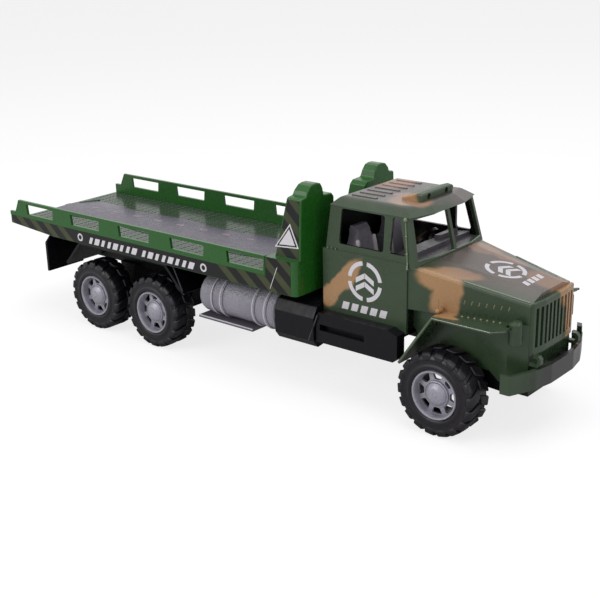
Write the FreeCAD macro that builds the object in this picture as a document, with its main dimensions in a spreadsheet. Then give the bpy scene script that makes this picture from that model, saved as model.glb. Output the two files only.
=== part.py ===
import FreeCAD, Part
import math
import os
import re
import Sketcher

# Toy six-wheel flatbed truck in moulded plastic.
# Millimetres, +X to the nose, +Y to the truck's left, +Z up, floor at Z = 0,
# X = 0 half way between the rear end of the platform and the bumper.

doc = FreeCAD.newDocument("toy_flatbed_truck")
sheet = doc.addObject("Spreadsheet::Sheet", "values")
known = []
stacks = {}


def drive(name, number, note):
    """One driving value: its name, its number and what it measures."""
    row = len(known) + 1
    sheet.set("A" + str(row), name)
    sheet.set("B" + str(row), str(number))
    sheet.set("C" + str(row), note)
    sheet.setAlias("B" + str(row), name)
    known.append(name)


def stack(name, *steps):
    """A place that is the sum of other values, such as a height on a height."""
    stacks[name] = steps


drive("tyre_radius", 26.0, "outside radius of every tyre")
drive("tyre_width", 20.0, "width of a tyre across its side walls")
drive("rim_radius", 15.6, "radius of the rim's outer lip")
drive("track_half", 43.0, "middle of the truck to the middle of a tyre")
drive("axle_radius", 2.0, "radius of the steel axles")
drive("axle_setback", 5.5, "face of a tyre to the end of its axle")
drive("turning_gap", 0.08, "radial play of an axle in its saddle")
drive("door_gap", 3.0, "front edge of the doors to the front tyres")
drive("wheel_base", 234.6, "front axle to middle axle")
drive("tandem_gap", 9.4, "middle tyres to rear tyres")
stack("front_axle", "cab_seam", "door_gap", "tyre_radius")
stack("tandem_pitch", "tyre_radius", "tyre_radius", "tandem_gap")

drive("tray_rear", -219.5, "rear end of the platform")
drive("tray_front", 68.0, "front end of the platform and headboard")
drive("tray_half", 54.7, "half the width of the platform")
drive("board_inset", 0.35, "how far the side boards stand back under their fences")
drive("deck_rise", 45.0, "load floor over the axles")
drive("board_lip", 4.0, "top of the side boards over the load floor")
stack("deck_top", "tyre_radius", "deck_rise")
stack("board_top", "deck_top", "board_lip")
drive("board_depth", 9.8, "height of a side board")
drive("board_rise", 3.3, "how far a side board's lower edge rises at the rear")
drive("board_run", 51.0, "length over which that edge rises")
drive("panel_wall", 2.0, "thickness of the moulded walls")

drive("rail_height", 12.8, "height of a side fence above its board")
drive("rail_band", 3.0, "height of the band under the fence openings")
drive("rail_bar", 2.3, "height of the bar over the fence openings")
drive("opening_start", 21.5, "rear end of the platform to the first opening")
drive("opening_pitch", 52.2, "one fence opening to the next")
drive("opening_width", 30.5, "width of a fence opening at its foot")
drive("opening_flare", 0.8, "how much wider each side of it is at the top")

drive("head_foot", 25.0, "depth of the headboard at its foot")
drive("head_neck", 11.0, "depth of the headboard at its shoulders")
drive("ledge_rise", 16.5, "ledge round the headboard's foot block over the load floor")
stack("ledge_top", "deck_top", "ledge_rise")
drive("tower_foot_half", 50.2, "half the width over the towers at that ledge")
drive("shoulder_rise", 54.5, "headboard shoulders over the load floor")
drive("tower_rise", 62.0, "headboard towers over the load floor")
stack("shoulder_top", "deck_top", "shoulder_rise")
stack("tower_top", "deck_top", "tower_rise")
drive("shoulder_half", 48.0, "half the width across the outer shoulders")
drive("tower_inner", 16.0, "middle of the truck to a tower's inner face")
drive("middle_rise", 39.0, "panel between the towers over the load floor")
stack("head_middle", "deck_top", "middle_rise")

drive("cab_back", 76.0, "rear wall of the cab")
drive("cab_seam", 138.0, "front edge of the doors")
drive("cab_half", 38.0, "half the width of the lower cab")
drive("sill_rise", 10.0, "cab's lower edge over the underside of the frame")
drive("door_height", 43.0, "cab's lower edge to the step under the side windows")
drive("window_height", 27.0, "that step to the roof's side edge")
stack("cab_sill", "frame_foot", "sill_rise")
stack("belt_line", "cab_sill", "door_height")
stack("roof_edge", "belt_line", "window_height")
drive("roof_rise", 4.6, "crown of the roof")
drive("roof_half", 34.5, "half the width of the roof")
drive("screen_foot", 143.0, "foot of the windscreen at its sides")
drive("screen_head", 136.0, "top of the windscreen at its sides")
drive("screen_bow", 4.5, "how far the middle of the windscreen stands forward")
drive("cab_wall", 1.8, "thickness of the cab's walls")
drive("seat_place", 12.0, "rear wall of the cab to the seats")
drive("seat_rise", 14.0, "height of the seats' step over the cab's lower edge")

drive("nose_front", 210.5, "front face of the hood at the grille")
drive("nose_half", 24.6, "half the width of the hood at the grille")
drive("nose_rise", 30.0, "hood's crease at the grille over the cab's lower edge")
stack("nose_top", "cab_sill", "nose_rise")
drive("hood_crown", 3.6, "how far the hood's middle stands over its crease")
drive("grille_rise", 10.0, "grille's lower edge over the underside of the frame")
drive("guard_rise", 28.0, "front mudguards over the underside of the frame")
stack("grille_foot", "frame_foot", "grille_rise")
stack("guard_top", "frame_foot", "guard_rise")
drive("guard_half", 45.5, "half the width over the front mudguards")
drive("guard_front", 204.0, "front end of the mudguards")
drive("apron_half", 30.5, "half the width of the walls inside the front wheels")
drive("apron_rise", 9.0, "those walls' lower edge over the axle")
stack("apron_foot", "tyre_radius", "apron_rise")
drive("apron_notch", 5.0, "how much higher those walls end behind the wheel")

drive("frame_half", 13.0, "middle of the truck to a frame rail's middle")
drive("frame_thick", 5.0, "thickness of a frame rail")
drive("frame_rise", 16.0, "underside of the frame rails over the axles")
stack("frame_foot", "tyre_radius", "frame_rise")
drive("step_reach", 8.0, "face of a side step out from the cab's side")
drive("tank_radius", 13.3, "radius of a fuel tank")
drive("tank_length", 66.0, "length of a fuel tank")
drive("tank_rear", -22.5, "rear end of a fuel tank")
drive("strap_thick", 0.7, "how far the straps stand out of a tank")
drive("bumper_front", 219.5, "front face of the bumper at its middle")
drive("bumper_half", 43.5, "half the width of the bumper")
drive("bumper_rise", 8.0, "bumper's lower edge over the axle")
stack("bumper_foot", "tyre_radius", "bumper_rise")
drive("bumper_height", 11.5, "height of the bumper")
drive("bumper_sweep", 9.5, "how far the bumper's corners stand behind its middle")
doc.recompute()

word = re.compile(r"[a-z]+(?:_[a-z]+)+")


def named(name):
    """A driving value as its sheet names it, or the sum that a stack stands for."""
    if name in stacks:
        return "(" + " + ".join(named(step) for step in stacks[name]) + ")"
    return "values." + name


def linked(text):
    """The same expression with every value named by its sheet."""
    return word.sub(lambda found: named(found.group(0)), str(text))


def bind(thing, prop, text):
    thing.setExpression(prop, linked(text))


def sub_part(label, along="0", across="0", up="0"):
    """A new body with its own label, standing at its own reference point."""
    body = doc.addObject("PartDesign::Body", label)
    body.Label = label
    bind(body, "Placement.Base.x", along)
    bind(body, "Placement.Base.y", across)
    bind(body, "Placement.Base.z", up)
    return body


def origin_item(body, role):
    for item in body.Origin.OriginFeatures:
        if item.Role == role:
            return item
    raise RuntimeError("no origin item " + role)


def drawing(body, name, plane, lift="0"):
    """An empty sketch on one of the body's own planes, lifted off it."""
    sketch = body.newObject("Sketcher::SketchObject", name)
    sketch.AttachmentSupport = [(origin_item(body, plane), "")]
    sketch.MapMode = "FlatFace"
    bind(sketch, "AttachmentOffset.Base.z", lift)
    return sketch


def hold(sketch, kind, item, point, text):
    """One dimension from the sketch's origin to a point."""
    place = sketch.getPoint(item, point)
    start = place.x if kind == "DistanceX" else place.y
    number = sketch.addConstraint(Sketcher.Constraint(kind, -1, 1, item, point, start))
    bind(sketch, "Constraints[" + str(number) + "]", text)


def outline(sketch, corners):
    """A closed outline, each corner held by two expressions."""
    count = len(corners)
    first = sketch.GeometryCount
    spots = []
    for turn in range(count):
        angle = 2 * math.pi * turn / count
        spots.append(FreeCAD.Vector(40 * math.cos(angle), 40 * math.sin(angle), 0))
    for turn in range(count):
        end = spots[(turn + 1) % count]
        sketch.addGeometry(Part.LineSegment(spots[turn], end), False)
    for turn in range(count):
        after = first + (turn + 1) % count
        sketch.addConstraint(Sketcher.Constraint("Coincident", first + turn, 2, after, 1))
    for turn in range(count):
        hold(sketch, "DistanceX", first + turn, 1, corners[turn][0])
        hold(sketch, "DistanceY", first + turn, 1, corners[turn][1])


def ring(sketch, along, up, radius):
    """A circle held by its middle and its radius."""
    circle = Part.Circle(FreeCAD.Vector(5, 5, 0), FreeCAD.Vector(0, 0, 1), 3)
    item = sketch.addGeometry(circle, False)
    hold(sketch, "DistanceX", item, 3, along)
    hold(sketch, "DistanceY", item, 3, up)
    number = sketch.addConstraint(Sketcher.Constraint("Radius", item, 3.0))
    bind(sketch, "Constraints[" + str(number) + "]", radius)


def both_ways(feature, wanted):
    if wanted:
        feature.SideType = "Symmetric"


def pad(body, name, sketch, length, both=False, back=False):
    feature = body.newObject("PartDesign::Pad", name)
    feature.Profile = sketch
    bind(feature, "Length", length)
    both_ways(feature, both)
    feature.Reversed = back
    sketch.Visibility = False
    doc.recompute()
    return feature


def pocket(body, name, sketch, length, both=False, back=False):
    """A cut, which must really take material away."""
    before = body.Shape.Volume
    feature = body.newObject("PartDesign::Pocket", name)
    feature.Profile = sketch
    bind(feature, "Length", length)
    both_ways(feature, both)
    feature.Reversed = back
    sketch.Visibility = False
    doc.recompute()
    if body.Shape.Volume > before - 0.01:
        raise RuntimeError(name + " cuts nothing")
    return feature


def spin(body, name, sketch, cut=False):
    """A turned shape round the sketch's own vertical axis."""
    before = body.Shape.Volume if cut else 0.0
    kind = "PartDesign::Groove" if cut else "PartDesign::Revolution"
    feature = body.newObject(kind, name)
    feature.Profile = sketch
    feature.ReferenceAxis = (sketch, ["V_Axis"])
    feature.Angle = 360
    sketch.Visibility = False
    doc.recompute()
    if cut and body.Shape.Volume > before - 0.01:
        raise RuntimeError(name + " cuts nothing")
    return feature


def loft(body, name, start, end, cut=False):
    """A straight-sided body from one outline to the next."""
    before = body.Shape.Volume if cut else 0.0
    kind = "PartDesign::SubtractiveLoft" if cut else "PartDesign::AdditiveLoft"
    feature = body.newObject(kind, name)
    feature.Profile = start
    feature.Sections = [end]
    feature.Ruled = True
    start.Visibility = False
    end.Visibility = False
    doc.recompute()
    if cut and body.Shape.Volume > before - 0.01:
        raise RuntimeError(name + " cuts nothing")
    return feature


def mirror(body, name, features, plane="XZ_Plane"):
    feature = body.newObject("PartDesign::Mirrored", name)
    feature.Originals = features
    feature.MirrorPlane = (origin_item(body, plane), [""])
    body.Tip = feature
    doc.recompute()
    return feature


def repeat(body, name, features, axis, pitch, count):
    feature = body.newObject("PartDesign::LinearPattern", name)
    feature.Originals = features
    feature.Direction = (origin_item(body, axis), [""])
    feature.Mode = "Spacing"
    bind(feature, "Offset", pitch)
    feature.Occurrences = count
    body.Tip = feature
    doc.recompute()
    return feature


def turn_about(body, name, features, axis, count):
    feature = body.newObject("PartDesign::PolarPattern", name)
    feature.Originals = features
    feature.Axis = (origin_item(body, axis), [""])
    feature.Angle = 360
    feature.Occurrences = count
    body.Tip = feature
    doc.recompute()
    return feature


def soften(body, name, radius, wanted):
    """Round every edge for which the given test holds."""
    base = body.Tip
    edges = []
    for number, edge in enumerate(base.Shape.Edges, 1):
        if wanted(edge):
            edges.append("Edge" + str(number))
    if not edges:
        raise RuntimeError(name + " finds no edge")
    feature = body.newObject("PartDesign::Fillet", name)
    feature.Base = (base, edges)
    bind(feature, "Radius", radius)
    doc.recompute()
    if feature.Shape.isNull() or not feature.Shape.isValid():
        raise RuntimeError(name + " does not close")
    return feature


def is_along(edge, axis):
    """True for a straight edge that runs along one axis of its body."""
    ends = edge.Vertexes
    if len(ends) != 2:
        return False
    step = ends[1].Point - ends[0].Point
    return abs(abs(step[axis]) - step.Length) < 0.001


def size(name):
    """What a value measures at the moment."""
    if name in stacks:
        return sum(size(step) for step in stacks[name])
    return float(sheet.get(name))


def lies_at(edge, axis, place):
    """True for an edge that stays on one plane across an axis."""
    box = edge.BoundBox
    low = (box.XMin, box.YMin, box.ZMin)[axis]
    high = (box.XMax, box.YMax, box.ZMax)[axis]
    return abs(low - place) < 0.01 and abs(high - place) < 0.01


def tyre(label, along, side):
    """Black tyre, turned, with rounded shoulders."""
    body = sub_part(label, along, side + " * track_half", "tyre_radius")
    sketch = drawing(body, label + "_section", "XZ_Plane")
    inner = "(rim_radius - 0.6)"
    outline(sketch, [
        (inner, "-tyre_width / 2 + 1"),
        ("tyre_radius * 0.72", "-tyre_width / 2"),
        ("tyre_radius - 3", "-tyre_width / 2"),
        ("tyre_radius", "-tyre_width / 2 + 3"),
        ("tyre_radius", "tyre_width / 2 - 3"),
        ("tyre_radius - 3", "tyre_width / 2"),
        ("tyre_radius * 0.72", "tyre_width / 2"),
        (inner, "tyre_width / 2 - 1"),
    ])
    spin(body, label + "_turned", sketch)
    body.Placement.Rotation = FreeCAD.Rotation(FreeCAD.Vector(1, 0, 0), 90)
    return body


def rim(label, along, side):
    """Silver rim: thick lip, sunk dish with eight windows, domed cap."""
    body = sub_part(label, along, side + " * track_half", "tyre_radius")
    barrel = "(rim_radius - 0.6)"
    inside = "(rim_radius - 1.9)"
    seat_end = "(tyre_width / 2 - axle_setback)"
    sketch = drawing(body, label + "_section", "XZ_Plane")
    outline(sketch, [
        ("axle_radius", "-tyre_width / 2 + 2"),
        ("axle_radius + 3", "-tyre_width / 2 + 2"),
        ("axle_radius + 3", seat_end + " - 0.8"),
        (inside, seat_end + " - 0.8"),
        (inside, "-tyre_width / 2 + 1"),
        (barrel, "-tyre_width / 2 + 1"),
        (barrel, "tyre_width / 2 - 0.9"),
        ("rim_radius * 0.945", "tyre_width / 2 - 0.3"),
        ("rim_radius * 0.885", "tyre_width / 2 - 0.5"),
        ("rim_radius * 0.865", "tyre_width / 2 - 1.4"),
        ("rim_radius * 0.845", seat_end + " + 0.6"),
        ("rim_radius * 0.53", seat_end + " + 1.3"),
        ("rim_radius * 0.51", seat_end + " + 2.3"),
        ("rim_radius * 0.475", seat_end + " + 2.5"),
        ("rim_radius * 0.455", seat_end + " + 2"),
        ("rim_radius * 0.425", seat_end + " + 2.7"),
        ("rim_radius * 0.35", seat_end + " + 3.6"),
        ("rim_radius * 0.24", seat_end + " + 4.3"),
        ("rim_radius * 0.10", seat_end + " + 4.6"),
        ("rim_radius * 0.085", seat_end + " + 5"),
        ("0", seat_end + " + 5.1"),
        ("0", seat_end),
        ("axle_radius", seat_end),
    ])
    spin(body, label + "_turned", sketch)
    window = drawing(body, label + "_window", "XY_Plane")
    outline(window, [
        ("rim_radius * 0.555", "-rim_radius * 0.09"),
        ("rim_radius * 0.58", "-rim_radius * 0.13"),
        ("rim_radius * 0.765", "-rim_radius * 0.22"),
        ("rim_radius * 0.805", "-rim_radius * 0.19"),
        ("rim_radius * 0.83", "0"),
        ("rim_radius * 0.805", "rim_radius * 0.19"),
        ("rim_radius * 0.765", "rim_radius * 0.22"),
        ("rim_radius * 0.58", "rim_radius * 0.13"),
        ("rim_radius * 0.555", "rim_radius * 0.09"),
    ])
    cut = pocket(body, label + "_window_cut", window, "tyre_width", False, True)
    turn_about(body, label + "_windows", [cut], "Z_Axis", 8)
    tilt = -90 if side == "1" else 90
    body.Placement.Rotation = FreeCAD.Rotation(FreeCAD.Vector(1, 0, 0), tilt)
    return body


def axle(label, along):
    """Steel axle, one straight pin through both rims."""
    body = sub_part(label, along, "0", "tyre_radius")
    sketch = drawing(body, label + "_round", "XZ_Plane")
    ring(sketch, "0", "0", "axle_radius")
    pad(body, label + "_pin", sketch, "2 * (track_half + tyre_width / 2 - axle_setback)", True)
    return body


def chassis_frame():
    """Black ladder frame, its axle saddles, cross members and front skid."""
    body = sub_part("chassis_frame")
    thick = "frame_thick"
    high = "(deck_top - panel_wall - 5)"
    low = "(cab_sill - 2)"
    side = drawing(body, "frame_side", "XZ_Plane", "frame_half - frame_thick / 2")
    outline(side, [
        ("tray_rear + 36", "frame_foot + 8"),
        ("tray_rear + 46", "frame_foot"),
        ("nose_front - 2", "frame_foot"),
        ("nose_front - 2", low),
        ("cab_back - 4", low),
        ("cab_back - 10", high),
        ("tray_rear + 36", high),
    ])
    rail = pad(body, "frame_rail", side, thick)
    mirror(body, "frame_rails", [rail])
    cross = drawing(body, "frame_cross", "XZ_Plane")
    outline(cross, [
        ("tray_rear + 38", "frame_foot + 9"),
        ("tray_rear + 44", "frame_foot + 9"),
        ("tray_rear + 44", high),
        ("tray_rear + 38", high),
    ])
    outline(cross, [
        ("tank_rear + 10", "frame_foot + 2"),
        ("tank_rear + tank_length - 10", "frame_foot + 2"),
        ("tank_rear + tank_length - 10", "frame_foot + 6"),
        ("tank_rear + 10", "frame_foot + 6"),
    ])
    outline(cross, [
        ("nose_front - 8", "frame_foot"),
        ("nose_front - 2", "frame_foot"),
        ("nose_front - 2", low),
        ("nose_front - 8", low),
    ])
    pad(body, "frame_crossings", cross, "2 * frame_half", True)
    saddle = drawing(body, "frame_saddle", "XZ_Plane")
    for place in ("front_axle", "front_axle - wheel_base",
                  "front_axle - wheel_base - tandem_pitch"):
        outline(saddle, [
            (place + " - 4.5", "tyre_radius - 5"),
            (place + " + 4.5", "tyre_radius - 5"),
            (place + " + 8", "frame_foot + 1"),
            (place + " - 8", "frame_foot + 1"),
        ])
    pad(body, "frame_saddles", saddle, "2 * (frame_half + frame_thick)", True)
    bores = drawing(body, "frame_bores", "XZ_Plane")
    for place in ("front_axle", "front_axle - wheel_base",
                  "front_axle - wheel_base - tandem_pitch"):
        ring(bores, place, "tyre_radius", "axle_radius + turning_gap")
    pocket(body, "frame_bore_cut", bores, "2 * track_half", True)
    skid = drawing(body, "frame_skid", "XZ_Plane")
    outline(skid, [
        ("front_axle - 8", "frame_foot + 1"),
        ("nose_front - 32", "frame_foot + 1"),
        ("nose_front - 14", "apron_foot - 7"),
        ("nose_front - 3", "apron_foot - 7"),
        ("nose_front - 3", low),
        ("front_axle - 8", low),
    ])
    pad(body, "frame_skid_block", skid, "2 * (frame_half + frame_thick / 2)", True)
    chin = drawing(body, "frame_chin", "XZ_Plane")
    outline(chin, [
        ("nose_front - 33", "frame_foot + 0.5"),
        ("nose_front - 31", "apron_foot - 6"),
        ("nose_front - 14", "apron_foot - 7"),
        ("nose_front - 12", "apron_foot - 7"),
        ("nose_front - 12", "frame_foot + 0.5"),
    ])
    pad(body, "frame_chin_block", chin, "2 * (apron_half - panel_wall - 0.3)", True)
    bar = drawing(body, "frame_bar", "XZ_Plane")
    outline(bar, [
        ("nose_front - 17", "apron_foot - 3"),
        ("nose_front - 12", "apron_foot - 7"),
        ("nose_front + 1.5", "apron_foot - 7"),
        ("nose_front + 1.5", "apron_foot - 0.3"),
        ("nose_front - 17", "apron_foot - 0.3"),
    ])
    pad(body, "frame_front_bar", bar, "2 * (nose_half + 1)", True)
    return body


def platform_deck():
    """Green tray: load floor, side boards with a rising rear edge, runners."""
    body = sub_part("platform_deck")
    bottom = "(board_top - board_depth)"
    side = drawing(body, "tray_side", "XZ_Plane")
    outline(side, [
        ("tray_rear", bottom + " + board_rise"),
        ("tray_rear + board_run", bottom),
        ("tray_front", bottom),
        ("tray_front", "board_top"),
        ("tray_rear", "board_top"),
    ])
    pad(body, "tray_block", side, "2 * (tray_half - board_inset)", True)
    soften(body, "tray_corner_round", "2 * panel_wall",
           lambda edge: is_along(edge, 2) and edge.BoundBox.XMin > size("tray_front") - 1)
    load = drawing(body, "tray_load", "XZ_Plane")
    outline(load, [
        ("tray_rear - 5", "deck_top"),
        ("tray_front - head_foot", "deck_top"),
        ("tray_front - head_foot", "board_top + 5"),
        ("tray_rear - 5", "board_top + 5"),
    ])
    inner = "2 * (tray_half - panel_wall)"
    pocket(body, "tray_load_space", load, inner, True)
    under = drawing(body, "tray_under", "XZ_Plane")
    outline(under, [
        ("tray_rear + panel_wall", bottom + " - 5"),
        ("tray_front - panel_wall", bottom + " - 5"),
        ("tray_front - panel_wall", "deck_top - panel_wall"),
        ("tray_rear + panel_wall", "deck_top - panel_wall"),
    ])
    pocket(body, "tray_under_space", under, inner, True)
    runner = drawing(body, "tray_runner", "XZ_Plane", "frame_half - frame_thick / 2")
    outline(runner, [
        ("tray_rear + 30", "deck_top - panel_wall + 0.5"),
        ("tray_rear + 36", "deck_top - panel_wall - 5"),
        ("tray_front - 10", "deck_top - panel_wall - 5"),
        ("tray_front - 4", "deck_top - panel_wall + 0.5"),
    ])
    beam = pad(body, "tray_beam", runner, "frame_thick")
    mirror(body, "tray_beams", [beam])
    stub = drawing(body, "tray_stub", "YZ_Plane", "tray_rear + 1")
    outline(stub, [
        ("-3.5", "deck_top - 0.5"),
        ("3.5", "deck_top - 0.5"),
        ("2.5", "deck_top + 0.9"),
        ("-2.5", "deck_top + 0.9"),
    ])
    pad(body, "tray_rib", stub, "tray_front - head_foot - tray_rear")
    return body


def side_rail(label, side):
    """Green side fence with five tapered openings and a stepped rear post."""
    body = sub_part(label, "tray_rear", side + " * (tray_half - panel_wall / 2)", "board_top")
    sketch = drawing(body, label + "_side", "XZ_Plane")
    reach = "(tray_front - head_foot - tray_rear - 0.2)"
    outline(sketch, [
        ("0", "0"),
        (reach, "0"),
        (reach, "rail_height"),
        ("11.5", "rail_height"),
        ("6.5", "rail_band"),
        ("0", "rail_band"),
    ])
    pad(body, label + "_panel", sketch, "panel_wall", True)
    hole = drawing(body, label + "_opening", "XZ_Plane")
    outline(hole, [
        ("opening_start", "rail_band"),
        ("opening_start + opening_width", "rail_band"),
        ("opening_start + opening_width + opening_flare", "rail_height - rail_bar"),
        ("opening_start - opening_flare", "rail_height - rail_bar"),
    ])
    cut = pocket(body, label + "_opening_cut", hole, "3 * panel_wall", True)
    repeat(body, label + "_openings", [cut], "X_Axis", "opening_pitch", 5)
    return body


def headboard():
    """Green headboard: foot block, two round-topped towers, middle panel."""
    body = sub_part("headboard")
    block = drawing(body, "head_block", "XZ_Plane")
    outline(block, [
        ("tray_front - head_foot", "board_top"),
        ("tray_front", "board_top"),
        ("tray_front", "ledge_top"),
        ("tray_front - head_foot", "ledge_top"),
    ])
    pad(body, "head_foot_block", block, "2 * (tray_half - board_inset)", True)
    soften(body, "head_foot_round", "2 * panel_wall",
           lambda edge: is_along(edge, 2) and edge.BoundBox.XMin > size("tray_front") - 1)
    face = drawing(body, "head_face", "YZ_Plane", "tray_front - head_foot")
    outline(face, [
        ("tower_inner", "ledge_top - 1"),
        ("tower_foot_half", "ledge_top - 1"),
        ("shoulder_half", "shoulder_top"),
        ("shoulder_half - 5", "shoulder_top + 0.8"),
        ("shoulder_half - 6", "tower_top - 4"),
        ("shoulder_half - 9", "tower_top - 0.8"),
        ("shoulder_half - 12", "tower_top"),
        ("tower_inner + 16", "tower_top"),
        ("tower_inner + 13", "tower_top - 0.8"),
        ("tower_inner + 11", "tower_top - 4"),
        ("tower_inner + 10", "shoulder_top - 1"),
        ("tower_inner + 2", "shoulder_top - 1.5"),
        ("tower_inner", "shoulder_top - 4"),
    ])
    tower = pad(body, "head_tower", face, "head_foot")
    mirror(body, "head_towers", [tower])
    middle = drawing(body, "head_middle_face", "YZ_Plane", "tray_front - head_neck")
    outline(middle, [
        ("-tower_inner - 1", "ledge_top - 1"),
        ("tower_inner + 1", "ledge_top - 1"),
        ("tower_inner + 1", "head_middle"),
        ("tower_inner - 4", "head_middle"),
        ("tower_inner - 8", "head_middle - 5"),
        ("-tower_inner + 8", "head_middle - 5"),
        ("-tower_inner + 4", "head_middle"),
        ("-tower_inner - 1", "head_middle"),
    ])
    pad(body, "head_panel", middle, "head_neck * 0.5")
    slope = drawing(body, "head_slope", "XZ_Plane")
    outline(slope, [
        ("tray_front - head_foot - 5", "ledge_top"),
        ("tray_front - head_foot + 5", "ledge_top"),
        ("tray_front - head_neck", "shoulder_top"),
        ("tray_front - head_neck + 2", "tower_top + 2"),
        ("tray_front - head_foot - 5", "tower_top + 2"),
    ])
    pocket(body, "head_slope_cut", slope, "3 * tray_half", True)
    soften(body, "head_top_round", "1.2",
           lambda edge: is_along(edge, 0) and edge.BoundBox.ZMin > size("shoulder_top") - 10)
    soften(body, "head_front_round", "0.9",
           lambda edge: lies_at(edge, 0, size("tray_front"))
           and edge.BoundBox.ZMax > size("ledge_top") + 2)
    hollow = drawing(body, "head_hollow", "YZ_Plane", "tray_front - head_foot - 1")
    outline(hollow, [
        ("tower_inner + 4", "ledge_top + 4"),
        ("tower_foot_half - 4.5", "ledge_top + 4"),
        ("shoulder_half - 4.5", "shoulder_top - 4"),
        ("tower_inner + 4", "shoulder_top - 4"),
    ])
    dish = pocket(body, "head_dish", hollow, "head_foot - 3", False, True)
    mirror(body, "head_dishes", [dish])
    return body


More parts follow.
